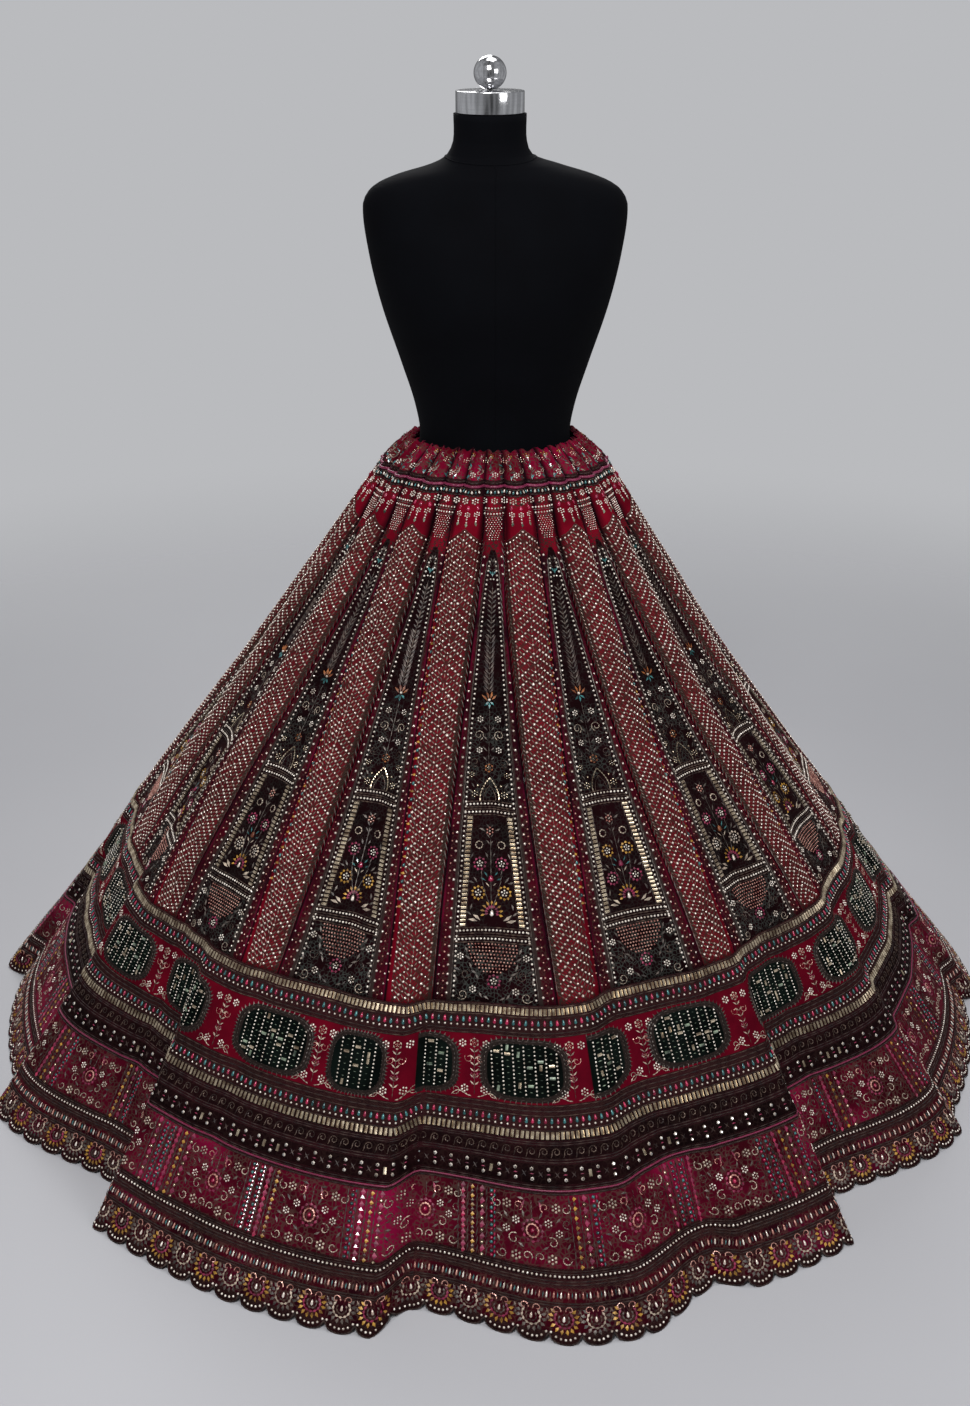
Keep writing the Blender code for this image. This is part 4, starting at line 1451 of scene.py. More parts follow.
def vase(piece, at, stitches, leaves, upper, bud, lower):
    """The flowers inside the frame."""
    pearl_flower(piece, *at(0.514), 0.0, 0.0, 0.0115, "rose_sequin", "pearl")
    for side in (-1, 1):
        leaves(0.512, side * 0.010, 0.0, 0.004, 0.009, 0.0014, -side * 60)
        stitch_fan(piece, "cream_thread", *at(0.531), side * 0.0142, 0.0, np.arange(8) * 45.0,
                   0.0042, 0.0022, 0.0042, 0.0022)
        petal_flower(piece, *at(0.5545), side * 0.0138, 0.0, 0.0185, upper, "pearl", 9)
        petal_flower(piece, *at(0.5905), side * 0.0165, 0.0, 0.0195, lower, "pearl", 10)
        stitches("teal_glass", 0.574, (side * 0.0065, side * 0.0100), (0.006, 0.0),
                 0.0026, 0.0080, 0.0014, (-side * 30, -side * 60))
        leaves(0.540, (side * 0.0050, side * 0.0235), (-0.004, -0.004),
               0.0030, 0.0084, 0.0014, (-side * 20, side * 30))
        stitches("cream_thread", 0.624, (side * 0.024, side * 0.0195), (0.0, 0.0035),
                 0.0052, 0.013, 0.0020, (-side * 76, -side * 50))
        sway = np.linspace(0, 1, 8)
        px = side * 0.013 * np.sin(sway * np.pi * 0.5)
        stitch_line(piece, "grey_thread", *at(0.612), px, sway * 0.05, 0.0013)
        leaves(0.574, (side * 0.020, side * 0.025), (0.0, -0.003),
               0.0034, 0.0088, 0.0013, (-side * 30, -side * 70))
        leaves(0.607, (side * 0.026, side * 0.029), (0.0, -0.008),
               0.0034, 0.0088, 0.0013, (side * 20, -side * 50))
    stitch_line(piece, "grey_thread", *at(0.57), np.zeros(8), np.linspace(-0.032, 0.045, 8), 0.0014)
    leaf_pairs(piece, "grey_thread", *at(0.522), 0.0, np.array((0.014, 0.002, -0.006)), 0.0075, 35)
    put(piece, "drop", bud, *at(0.5735), 0.0, 0.0, 0.0085, 0.0095, 0.0036)
    stitches("cream_thread", 0.581, (-0.0045, 0.0045), (0.0, 0.0), 0.0022, 0.008, 0.0016, (40, -40))
    fan = np.linspace(-105, 105, 9)
    for reach, finish, long in ((0.0118, "yellow_gold", 0.0062), (0.0072, "magenta_thread", 0.0056)):
        stitch_fan(piece, finish, *at(0.615), 0.0, 0.0, fan, reach, 0.0044, long, 0.0022, 0)
    put(piece, "drop", "silver_sequin", *at(0.616), 0.0, 0.0, 0.006, 0.009, 0.003)


def bowl(piece, at, leaves):
    """A half-oval bowl of small sequins, and the flower and leaves round its foot."""
    for row, level in enumerate(np.arange(0.6535, 0.688, 0.0042)):
        share = (level - 0.6535) / 0.036
        reach = 0.028 * math.sqrt(max(0.0, 1 - share**2)) + 0.002
        xs = np.arange(-reach, reach + 0.001, 0.0042) + (row % 2) * 0.0006
        put(piece, "sequin", "rose_sequin", *at(level), xs, 0 * xs, 0.0030, 0.0030, 0.0012)
    petal_flower(piece, *at(0.6985), 0.0, 0.0, 0.0190, "magenta_thread", "pearl", 9)
    for side in (-1, 1):
        pearl_flower(piece, *at(0.668), side * 0.0405, 0.0, 0.0095)
        pearl_flower(piece, *at(0.709), side * 0.0265, 0.0, 0.0100)
        scroll(piece, "cream_thread", *at(0.7155), side * 0.0395, 0.0, 0.014, side, start=120)
        scroll(piece, "dull_gold", *at(0.690), side * 0.0345, 0.0, 0.015, -side, start=30)
        xs = side * np.array((0.0335, 0.0315, 0.0285, 0.0245, 0.0205, 0.0455, 0.0475))
        ys = np.array((0.022, 0.012, 0.002, -0.006, -0.012, -0.002, -0.014))
        leaves(0.682, xs, ys, 0.0036, 0.0092, 0.0014, -side * np.array((20, 50, 15, 60, 30, 70, 10)))
        leaves(0.7185, side * np.array((0.010, 0.017)), (0.0, 0.003), 0.0034, 0.0085, 0.0014,
               -side * np.array((60, 30)))


for start, colours in enumerate(FLOWER_COLOURS):
    chosen = units[start::3]
    window_garden(f"window_flowers_{start + 1}", chosen, colours)
    make_beadwork(f"window_flowers_{start + 1}")

# %% [markdown]
# ### The waist
# Small flowers and leaves are scattered on the gathered casing. Under the piping come a row of teal
# and white glass and a row of white flowers. Above each chevron hang bead tassels on plain red, and
# above each window stands a little dome filled with sequins.

# %% Waist beadwork
places = ring_spots(0.03, 0.021)
offset = places + 180 / len(places)
low = np.where(np.arange(len(places)) % 2, 0.018, 0.040)
for pick, petal in enumerate(("pearl", "rose_sequin", "pearl", "pale_gold")):
    for spot, along in zip(places[pick::4], low[pick::4]):
        pearl_flower("waist_flowers", spot, along, 0.0, 0.0, 0.0100, petal)
for pick, along, finish, start in ((0, 0.036, "cream_thread", 40), (1, 0.020, "grey_thread", 200)):
    scroll("waist_flowers", finish, offset[pick::2], along, 0.0, 0.0, 0.0095, 1, 0.9, start, 0.0015)
for finish, shift, along, wide, long, tall, lean in (
    ("teal_glass", 0, 0.026, 0.003, 0.0085, 0.0016, 40), ("teal_glass", 0, 0.044, 0.003, 0.0080, 0.0016, -35),
    ("magenta_thread", 0, 0.014, 0.0034, 0.0085, 0.0018, 15),
    ("grey_thread", 0.9, 0.035, 0.0026, 0.0085, 0.0014, -60),
):
    sew("waist_flowers", "stitch", finish, offset + shift, along, wide, long, tall, lean)
for x, along, finish, lean in (
    (-0.0068, 0.012, "green_glass", 35), (0.0070, 0.010, "zari_thread", -50),
    (-0.0062, 0.031, "zari_thread", -35), (0.0066, 0.030, "green_glass", 60),
    (-0.0040, 0.047, "zari_thread", 70), (0.0072, 0.045, "teal_glass", 20),
):
    put("waist_flowers", "stitch", finish, places, along, x, 0.0, 0.0028, 0.0080, 0.0016, lean)
for pick, finish in enumerate(("magenta_thread", "yellow_gold")):
    pearl_flower("waist_flowers", offset[pick::2], 0.0085, 0.0, 0.0, 0.0078, finish, "pearl", 5)
stitch_round("waist_flowers", "brown_cord", 0.0525, 0.006, 0.0018)
make_beadwork("waist_flowers")

for first, finish, wide, long in ((0, "teal_glass", 0.0040, 0.0058), (1, "pearl", 0.0038, 0.0052)):
    bead_round("waist_rows", "drop", finish, 0.0665, 0.0052, wide, long, 0.0030, first, 2)
for finish, along in (("dull_gold", 0.0625), ("brown_cord", 0.0715)):
    stitch_round("waist_rows", finish, along, 0.006, 0.0018)
pearl_flower("waist_rows", ring_spots(0.0795, 0.0150), 0.0795, 0.0, 0.0, 0.0105)
chevron_tops = chevron_middle(units, 0.10)
for x, length in ((-0.012, 0.85), (0.0, 1.1), (0.012, 0.85)):
    put("waist_rows", "drop", "pink_glass", chevron_tops, 0.089, x, 0.0, 0.0065, 0.0080, 0.0034)
    pearl_flower("waist_rows", chevron_tops, 0.0985, x, 0.0, 0.0088)
    put("waist_rows", "pearl", "pearl", chevron_tops, 0.105, x, (0.0, -0.004 * length),
        0.0026, 0.0030, 0.0024)
    put("waist_rows", "stitch", "green_glass", chevron_tops, 0.1125, x, 0.003 - 0.003 * length,
        0.0048, 0.0062, 0.0026)
window_tops = window_middle(units, 0.10)
for level, reach in ((0.0905, 0.016), (0.0985, 0.013)):
    xs = np.arange(-reach, reach + 0.001, 0.0042)
    put("waist_rows", "pearl", "pearl", window_tops, level, xs, 0 * xs, 0.0029, 0.0033, 0.0024)
    line = np.linspace(-reach, reach, 7)
    stitch_line("waist_rows", "grey_thread", window_tops, level, line, 0 * line - 0.0035, 0.0016)
for row, level in enumerate(np.arange(0.1045, 0.138, 0.0031)):
    share = (level - 0.1045) / 0.034
    reach = 0.0105 * math.sqrt(max(0.02, 1 - max(0.0, 1.3 * share - 0.35) ** 2))
    xs = np.arange(-reach, reach + 0.0005, 0.0038) + (row % 2) * 0.0019
    put("waist_rows", "sequin", "silver_sequin", window_tops, level, xs, 0 * xs, 0.0021, 0.0021, 0.0013)
make_beadwork("waist_rows")

# %% [markdown]
# ### The medallion band
# Lines of trim close the band above and below: metal bars, glass drops and couched cords. Between
# them lie medallions with cut corners on plates of black-green velvet, with rows of beads, odd gold
# bars and a looped border. Where a big fold hides part of one, as at the front, only the rest is made.

# %% Trim lines
TRIM_CORDS = (
    # finish, along, width and height of each couched cord
    ("dull_gold", 0.7262, 0.0020, 0.0014),
    ("dull_gold", 0.7385, 0.0020, 0.0014),
    ("brown_cord", 0.7570, 0.0020, 0.0014),
    ("dull_gold", 0.7612, 0.0016, 0.0012),
    ("dull_gold", 0.8420, 0.0016, 0.0012),
    ("brown_cord", 0.8475, 0.0022, 0.0014),
    ("dull_gold", 0.8530, 0.0018, 0.0012),
    ("brown_cord", 0.8700, 0.0020, 0.0014),
)
DROP_PITCH = 0.0078
for finish, along, wide, tall in TRIM_CORDS:
    stitch_round("band_trim", finish, along, 0.0150, wide, tall)
for along, pitch, long, tall in ((0.7322, 0.0056, 0.0084, 0.0042), (0.8757, 0.0062, 0.0090, 0.0040)):
    bead_round("band_trim", "bar", "pale_gold", along, pitch, 0.0040, long, tall)
for along in (0.7456, 0.8590):
    for first, finish in enumerate(("pink_glass", "teal_glass")):
        bead_round("band_trim", "drop", finish, along, DROP_PITCH, 0.0050, 0.0084, 0.0036, first, 2)
    bead_round("band_trim", "pearl", "pearl", along + 0.0066, DROP_PITCH, 0.0030, 0.0030, 0.0024)
make_beadwork("band_trim")

# %% The medallions
MEDALLION_ALONG = 0.8015
MEDALLION_TALL = 0.0305
RIM_WIDE = 0.0065
CORNER_CUT = 1.62
BAND_RADIUS = float(profile_at(MEDALLION_ALONG)[0])
MEDALLIONS = [
    # azimuth of the middle, reach to the left, reach to the right, half width of the whole oval
    (-43.5, 0.050, 0.050, 0.050),
    (-27.0, 0.052, 0.052, 0.052),
    (-15.2, 0.031, 0.031, 0.031),
    (-7.9, 0.002, 0.044, 0.044),
    (5.0, 0.047, 0.047, 0.047),
    (12.9, 0.001, 0.050, 0.050),
    (27.2, 0.052, 0.052, 0.052),
    (43.5, 0.050, 0.050, 0.050),
]
BACK_FROM, BACK_TO, BACK_COUNT = 58.8, 301.2, 17
for azimuth in np.linspace(BACK_FROM, BACK_TO, BACK_COUNT):
    MEDALLIONS.append((float(azimuth), 0.052, 0.052, 0.052))


def oval(angle, half, tall):
    """A point of the medallion's octagon, with its corners a little rounded."""
    cos, sin = np.cos(angle), np.sin(angle)
    a, b = np.abs(cos), np.abs(sin)
    size = (a**14 + b**14 + ((a + b) / CORNER_CUT) ** 14) ** (-1 / 14)
    return half * size * cos, tall * size * sin


def tall_at(x, half):
    """Half the height of the octagon at x from its middle."""
    return MEDALLION_TALL * max(0.05, min(1.0, CORNER_CUT - abs(x) / half)) * 0.97


def medallion_plate(azimuth, left, right, half):
    """The plate: a grid pressed into the oval and laid just above the cloth."""
    bm = bmesh.new()
    bmesh.ops.create_grid(bm, x_segments=12, y_segments=12, size=1.0)
    flat = np.array([vert.co[:2] for vert in bm.verts])
    reach = np.abs(flat).max(axis=1)
    angle = np.arctan2(flat[:, 1], flat[:, 0])
    ox, oy = oval(angle, half + RIM_WIDE, MEDALLION_TALL + RIM_WIDE)
    cut_left, cut_right = left + RIM_WIDE * (left == half), right + RIM_WIDE * (right == half)
    x, y = np.clip(ox * reach, -cut_left, cut_right), oy * reach
    place, _, _, out = directions(azimuth + np.degrees(x / BAND_RADIUS), MEDALLION_ALONG - y)
    lifted = place + out * (0.0011 - 0.0008 * (reach > 0.99))[:, None]
    for vert, spot in zip(bm.verts, lifted):
        vert.co = spot
    layer = bm.loops.layers.uv.new("plate")
    for face in bm.faces:
        for loop in face.loops:
            loop[layer].uv = (reach[loop.vert.index], angle[loop.vert.index])
    bmesh.ops.remove_doubles(bm, verts=bm.verts, dist=1e-6)
    return bm


plates = bmesh.new()
for row in MEDALLIONS:
    one = medallion_plate(*row)
    held = bpy.data.meshes.new("plate")
    one.to_mesh(held)
    one.free()
    plates.from_mesh(held)
    bpy.data.meshes.remove(held)
plate_piece = outward(finish_piece("medallion_plates", plates, plate_velvet))
print("medallions:", len(MEDALLIONS), "plates:", len(plate_piece.data.polygons), "faces")

# %% Medallion beads
def medallion_beads(azimuth, left, right, half):
    """Rows of beads, odd bars and the looped border of one medallion."""

    def lay(kind, finish, x, y, *size_turn_lift):
        put("medallions", kind, finish, azimuth, MEDALLION_ALONG, x, y, *size_turn_lift)

    count = max(1, round((left + right - 0.004) / 0.0130))
    spacing = (left + right) / (count + 0.3)
    lines = (right - left) / 2 + (np.arange(count) - (count - 1) / 2) * spacing
    for x in lines:
        tall = tall_at(x, half) - 0.0020
        ys = np.arange(-tall, tall + 0.001, 0.0046)
        lay("pearl", "pearl", x, ys, 0.0029, 0.0029, 0.0026, 0.0, 0.001)
        between = x + spacing / 2
        if between > right - 0.003:
            continue
        beside_it = tall_at(between, half)
        rungs = np.arange(-beside_it + 0.005, beside_it - 0.003, 0.0072)
        lay("stitch", "green_glass", between, rungs, 0.0020, 0.0064, 0.0014, 90, 0.0008)
        for y in rng.choice(rungs, min(2, len(rungs)), replace=False):
            lay("bar", rng.choice(["pale_gold", "green_glass", "pale_gold"]), between, y,
                0.0036, 0.0070, 0.003, rng.choice([90, 90, 0]), 0.0012)
    angle = np.linspace(0, 2 * np.pi, 41)
    for grow, finish, wide in ((0.0010, "grey_thread", 0.0030), (0.0040, "brown_cord", 0.0022)):
        ox, oy = oval(angle, half + grow, MEDALLION_TALL + grow)
        shown = (ox > -left - grow * (left == half) - 1e-4) & (ox < right + grow + 1e-4)
        for run in np.split(np.arange(41), np.flatnonzero(~shown)):
            run = run[shown[run]]
            if len(run) > 2:
                stitch_line("medallions", finish, azimuth, MEDALLION_ALONG, ox[run], oy[run], wide, 0.0022)
    loops = np.linspace(0, 2 * np.pi, 56, endpoint=False)
    ox, oy = oval(loops, half + 0.0060, MEDALLION_TALL + 0.0060)
    shown = (ox > -left - 0.007 * (left == half)) & (ox < right + 0.0065)
    turn = np.degrees(np.arctan2(-ox / half**2, oy / MEDALLION_TALL**2))
    lay("stitch", "grey_thread", ox[shown], oy[shown], 0.0024, 0.0072, 0.0022, turn[shown])


for row in MEDALLIONS:
    medallion_beads(*row)
make_beadwork("medallions")

# %% The pillars between medallions
FRONT_PILLARS = (-51.0, -35.3, -20.4, -10.4, -1.0, 10.6, 20.6, 35.4, 51.2)
back_steps = np.linspace(BACK_FROM, BACK_TO, BACK_COUNT)
back_pillars = (back_steps[1:] + back_steps[:-1]) / 2
pillars = np.concatenate([FRONT_PILLARS, back_pillars])
petal_flower("pillars", pillars, 0.7735, 0.0, 0.0, 0.0120, "cream_thread", "rose_sequin", 6)
stem = np.arange(-0.022, 0.018, 0.0078)
leaf_pairs("pillars", "cream_thread", pillars, 0.800, 0.0, stem, 0.0076, 50)
stitch_line("pillars", "dull_gold", pillars, 0.800, np.zeros(10), np.linspace(-0.036, 0.020, 10))
petal_flower("pillars", pillars, 0.812, 0.0, 0.0, 0.0100, "magenta_thread", "rose_sequin", 5)
for side in (-1, 1):
    pearl_flower("pillars", pillars, 0.7745, side * 0.0145, 0.0, 0.0108)
    pearl_flower("pillars", pillars, 0.8290, side * 0.0120, 0.0, 0.0108)
    scroll("pillars", "cream_thread", pillars, 0.8315, side * 0.0235, 0.0, 0.0125, side, 0.9, 150)
    scroll("pillars", "rose_sequin", pillars, 0.7920, side * 0.0068, 0.0, 0.0110, side, 1.0, 60)
    sweep = np.linspace(0, 1, 7)
    stitch_line("pillars", "cream_thread", pillars, 0.838, side * (0.004 + 0.024 * sweep),
                0.010 * np.sin(np.pi * sweep) * sweep, 0.0020)
make_beadwork("pillars")

# %% [markdown]
# ### The mirror border
# A dark strip of key-pattern scrolls lies over a black one with small round mirrors in pairs. Brown
# cords close both, and a line of pink piping is let into the seam below.

# %% The mirror border's scrolls and mirrors
SCROLL_ALONG, SCROLL_PITCH = 0.8946, 0.0152
MIRROR_ALONG, MIRROR_PITCH = 0.9203, 0.0205
for level in (0.8836, 0.8862, 0.9030, 0.9062, 0.9335, 0.9360):
    stitch_round("mirror_border_work", "brown_cord", level, 0.016, 0.0019, 0.0013)
spots = ring_spots(SCROLL_ALONG, SCROLL_PITCH)
turn = np.linspace(0, 1, 10)
curl = turn * 2 * np.pi * 1.15
reach = 0.0052 * (1 - 0.62 * turn)
key_x = np.concatenate([[-0.0070, -0.0060], reach * np.sin(curl - 1.4)])
key_y = np.concatenate([[-0.0056, -0.0062], reach * np.cos(curl - 1.4)])
stitch_line("mirror_border_work", "dull_gold", spots, SCROLL_ALONG, key_x, key_y, 0.0017, 0.0012)
mirror_spots = ring_spots(0.9200, MIRROR_PITCH)
for level in (0.9145, 0.9262):
    sew("mirror_border_work", "pearl", "pearl", mirror_spots, level, 0.0050, 0.0050, 0.0016)
    sew("mirror_border_work", "disc", "mirror", mirror_spots, level, 0.0026, 0.0026, 0.0026)
between = mirror_spots + 180 / len(mirror_spots)
gold = rng.random(len(between)) < 0.22
for kind, finish, at_spots, wide, long, tall, lean in (
    ("bar", "pale_gold", between[gold], 0.0040, 0.0086, 0.003, 0),
    ("stitch", "brown_cord", between[~gold], 0.0022, 0.0096, 0.0014, -40),
    ("stitch", "brown_cord", between[~gold], 0.0022, 0.0096, 0.0014, 40),
    ("stitch", "magenta_thread", mirror_spots, 0.0018, 0.0056, 0.0014, 90),
):
    sew("mirror_border_work", kind, finish, at_spots, MIRROR_ALONG, wide, long, tall, lean)
make_beadwork("mirror_border_work")
lower_piping = tube_round(
    "lower_piping_cord", LOWER_START + 0.0016, 0.0011, 0.0004, 576, 6, pink_satin
)
print("lower piping:", len(lower_piping.data.polygons), "faces")

# %% [markdown]
# ### The lower band
# Squares with a rosette, white flowers and cream scrolls take turns with upright stripes of glass in
# magenta, teal, gold and cream. There are thirty squares. At the front they are spaced as the folds
# show them, and from there round the back evenly.

# %% Lower band squares
LOWER_ALONG = 0.9850
FRONT_SQUARES = (-42.6, -29.0, -17.4, -6.1, 4.8, 15.3, 27.2, 40.5)
squares = np.concatenate([FRONT_SQUARES, np.linspace(52.6, 305.4, 22)])
for reach, finish, wide in ((0.0108, "magenta_thread", 0.0046), (0.0064, "rose_sequin", 0.0030)):
    stitch_fan("lower_squares", finish, squares, LOWER_ALONG, 0.0, 0.0, np.arange(12) * 30.0,
               reach, wide, 0.0056, 0.0020, high=reach * 1.1)
put("lower_squares", "pearl", "pink_glass", squares, LOWER_ALONG, 0.0, 0.0, 0.0058, 0.0066, 0.0034)
for side in (-1, 1):
    for x, y, size, petal in (
        (0.0185, 0.0095, 0.0102, "pearl"), (0.0300, -0.0015, 0.0098, "pearl"),
        (0.0280, 0.0270, 0.0120, "cream_thread"), (0.0205, -0.0305, 0.0130, "cream_thread"),
    ):
        pearl_flower("lower_squares", squares, LOWER_ALONG, side * x, y, size, petal)
    for x, y, size, start, finish in (
        (0.0390, 0.0260, 0.0130, 30, "cream_thread"), (0.0150, 0.0270, 0.0120, 200, "rose_sequin"),
        (0.0365, -0.0300, 0.0130, 100, "cream_thread"), (0.0075, -0.0290, 0.0120, 240, "cream_thread"),
        (0.0220, -0.0120, 0.0140, 330, "cream_thread"), (0.0395, 0.0100, 0.0120, 160, "dull_gold"),
    ):
        scroll("lower_squares", finish, squares, LOWER_ALONG, side * x, y, size, side, 0.95, start, 0.0018)
    leaf_x = side * np.array((0.010, 0.014, 0.0400, 0.0385, 0.0300, 0.0120))
    leaf_y = np.array((0.0180, -0.0180, -0.0150, -0.0060, 0.0140, 0.0350))
    put("lower_squares", "stitch", "grey_thread", squares, LOWER_ALONG, leaf_x, leaf_y, 0.0036, 0.0090,
        0.0016, -side * np.array((20, 60, 30, 75, 40, 80)))
    put("lower_squares", "stitch", "magenta_thread", squares, LOWER_ALONG, side * 0.0100, 0.0290,
        0.0040, 0.0120, 0.0018, side * 20)
stitch_line("lower_squares", "grey_thread", squares, LOWER_ALONG, np.zeros(5), np.linspace(0.014, 0.034, 5))
make_beadwork("lower_squares")

# %% Lower band stripes
SQUARE_HALF = 0.0455
STRIPE_PITCH = 0.0116
STRIPES = (
    # the beads of a stripe in turn, from the top down: kind, finish, width, length, and their pitch
    ((("stitch", "yellow_gold", 0.0066, 0.0058), ("stitch", "dull_gold", 0.0050, 0.0050)), 0.0054),
    ((("stitch", "magenta_thread", 0.0082, 0.0092), ("pearl", "pale_gold", 0.0064, 0.0052)), 0.0070),
    ((("pearl", "teal_glass", 0.0050, 0.0046), ("pearl", "pink_glass", 0.0046, 0.0042)), 0.0050),
    ((("pearl", "pink_glass", 0.0046, 0.0042), ("pearl", "teal_glass", 0.0050, 0.0046)), 0.0050),
    ((("stitch", "magenta_thread", 0.0082, 0.0092), ("stitch", "pink_glass", 0.0066, 0.0080)),
     0.0070),
)


def stripe(azimuth, x, number):
    """One upright stripe: its beads, and a brown cord at its left."""
    beads, pitch = STRIPES[number % len(STRIPES)]
    heights = np.arange(0.0375, -0.0400, -pitch)
    for k, (kind, finish, wide, long) in enumerate(beads):
        ys = heights[k :: len(beads)]
        put("lower_stripes", kind, finish, azimuth, LOWER_ALONG, x, ys, wide, long, 0.0026)
        if kind == "pearl" and beads[0][0] == "pearl":
            put("lower_stripes", "stitch", beads[k - 1][1], azimuth, LOWER_ALONG, x + 0.0037, ys,
                0.0026, 0.0046, 0.0020)
    line = np.linspace(-0.040, 0.040, 9)
    stitch_line("lower_stripes", "brown_cord", azimuth, LOWER_ALONG, x - STRIPE_PITCH / 2 + 0 * line,
                line, 0.0022, 0.0016)


ordered = np.sort(squares % 360)
gaps = np.concatenate([ordered[1:], ordered[:1] + 360]) - ordered
for k, (start, gap) in enumerate(zip(ordered, gaps)):
    middle = start + gap / 2
    room = gap * float(metres_per_degree(middle, LOWER_ALONG)) - 2 * SQUARE_HALF
    count = max(3, int(room / STRIPE_PITCH))
    for number in range(count):
        stripe(middle, (number - (count - 1) / 2) * STRIPE_PITCH, number + k)
stitch_round("lower_stripes", "brown_cord", 0.9420, 0.012, 0.0022, 0.0014)
for level in (1.0275, 1.0302):
    stitch_round("lower_stripes", "brown_cord", level, 0.012, 0.0018, 0.0013)
bead_round("lower_stripes", "pearl", "pearl", 1.0335, 0.0056, 0.0034, 0.0034, 0.0028)
make_beadwork("lower_stripes")

# %% [markdown]
# ### The scalloped edging
# Under a line of pearls hangs a row of drops and stitches, then a shell in each scallop: by turns
# yellow round pink, and grey round cream. A string of pearls and a brown cord follow the edge.

# %% Edging beadwork
for level in (1.0385, 1.0420, 1.0625, 1.0655):
    stitch_round("edging_rows", "brown_cord", level, 0.017, 0.0022, 0.0014)
for first, kind, finish, wide, long in (
    (0, "drop", "rose_sequin", 0.0034, 0.0096), (1, "stitch", "teal_glass", 0.0020, 0.0078),
    (2, "drop", "silver_sequin", 0.0030, 0.0088), (3, "stitch", "grey_thread", 0.0020, 0.0078),
):
    bead_round("edging_rows", kind, finish, 1.0540, 0.0044, wide, long, 0.0032, first, 4)
edge_turn = np.arange(SCALLOPS * 9) * 360 / (SCALLOPS * 9)
edge_along = HEM - scallop_drop(edge_turn) - 0.0012
closed_turn = np.concatenate([edge_turn, [360.0]])
closed_along = np.concatenate([edge_along, edge_along[:1]])
stitch_path("edging_rows", "brown_cord", closed_turn[None], closed_along[None], 0.0028, 0.0024)
pearl_turn = (np.arange(SCALLOPS * 7) + 0.5) * 360 / (SCALLOPS * 7)
pearl_along = HEM - 1.25 * scallop_drop(pearl_turn) - 0.0062
sew("edging_rows", "pearl", "pearl", pearl_turn, pearl_along, 0.0034, 0.0034, 0.0028)
make_beadwork("edging_rows")

shells = (np.arange(SCALLOPS) + 0.5) * 360 / SCALLOPS
SHELL_ALONG = 1.0800
for first, outer, inner, heart in (
    (0, "yellow_gold", "magenta_thread", "grey_thread"), (1, "grey_thread", "cream_thread", "dull_gold"),
):
    chosen = shells[first::2]
    name = f"shells_{first + 1}"
    for finish, count, spread, reach, high, wide, long, tall, lean in (
        (outer, 12, 128, 0.0148, 0.0142, 0.0054, 0.0070, 0.0022, 0),
        (inner, 9, 120, 0.0098, 0.0092, 0.0040, 0.0060, 0.0022, 90),
        (heart, 6, 110, 0.0056, 0.0054, 0.0028, 0.0050, 0.0018, 90),
    ):
        fan = np.linspace(-spread, spread, count) + 180
        stitch_fan(name, finish, chosen, SHELL_ALONG, 0.0, 0.0, fan, reach, wide, long, tall, lean, high)
    put(name, "drop", "silver_sequin", chosen, SHELL_ALONG, 0.0, 0.0, 0.0044, 0.0078, 0.0030)
    for side in (-1, 1):
        scroll(name, "rose_sequin", chosen, SHELL_ALONG - 0.0098, side * 0.0075, 0.0, 0.0104, side,
               0.9, 250, 0.0018)
        put(name, "stitch", "dull_gold", chosen, SHELL_ALONG, side * np.array((0.0185, 0.0175)),
            (0.0080, 0.0005), 0.0030, 0.0086, 0.0016, side * np.array((30, -20)))
    make_beadwork(name)
print("shells:", SCALLOPS)

# %% [markdown]
# ## The form and its stand
# The torso is papier-mache and padding under a stretched jersey cover. Its rings come from the same
# table as the CAD torso, read smoothly at many more heights, and lofted by extruding a circle. Thin
# raised seams run down the front and back and round the base of the neck.

# %% The torso cover
SEAT_GAP = 0.0004
NEAR_WAIST = 0.002


def waist_inside():
    waist = profile_at(0.0)
    fall = profile_at(-NEAR_WAIST)[1] - profile_at(NEAR_WAIST)[1]
    deepest = GATHER_DEPTH * (1 + GATHER_UNEVEN) + WALL * 2 * NEAR_WAIST / fall
    return waist[0] - deepest - SEAT_GAP, waist[0] * waist[2] - deepest - SEAT_GAP


waist_width, waist_depth = waist_inside()
waist_side = PROFILE[0][3]
NECK_SIDE = 0.004
CAP_BOTTOM, CAP_TOP, CAP_RADIUS = 1.326, 1.354, 0.0450
BALL_RADIUS = 0.0214
TOUCH_GAP = 0.0003
TORSO = np.array((
    # height, half width, half depth, place across
    (CAP_BOTTOM - TOUCH_GAP, 0.0480, 0.0480, NECK_SIDE),
    (1.292, 0.0485, 0.0490, NECK_SIDE),
    (1.274, 0.0570, 0.0530, NECK_SIDE),
    (1.262, 0.0850, 0.0600, waist_side),
    (1.247, 0.1350, 0.0680, waist_side),
    (1.232, 0.1640, 0.0720, waist_side),
    (1.210, 0.1760, 0.0780, waist_side),
    (1.150, 0.1700, 0.0960, waist_side),
    (1.080, 0.1540, 0.1060, waist_side),
    (1.000, 0.1280, 0.0970, waist_side),
    (0.945, 0.1110, 0.0880, waist_side),
    (0.900, waist_width, waist_depth, waist_side),
    (0.862, waist_width + 0.010, waist_depth + 0.008, waist_side),
    (0.800, 0.1400, 0.1120, waist_side / 2),
    (0.740, 0.1500, 0.1220, 0.0),
    (0.706, 0.1460, 0.1190, 0.0),
    (0.700, 0.1380, 0.1110, 0.0),
))
ring_run = np.concatenate([[0], np.cumsum(np.linalg.norm(np.diff(TORSO[:, :2], axis=0), axis=1))])


def torso_ring(run):
    """Height, half width, half depth and place across at a length down the torso's side."""
    return read_smoothly(TORSO, ring_run, run)


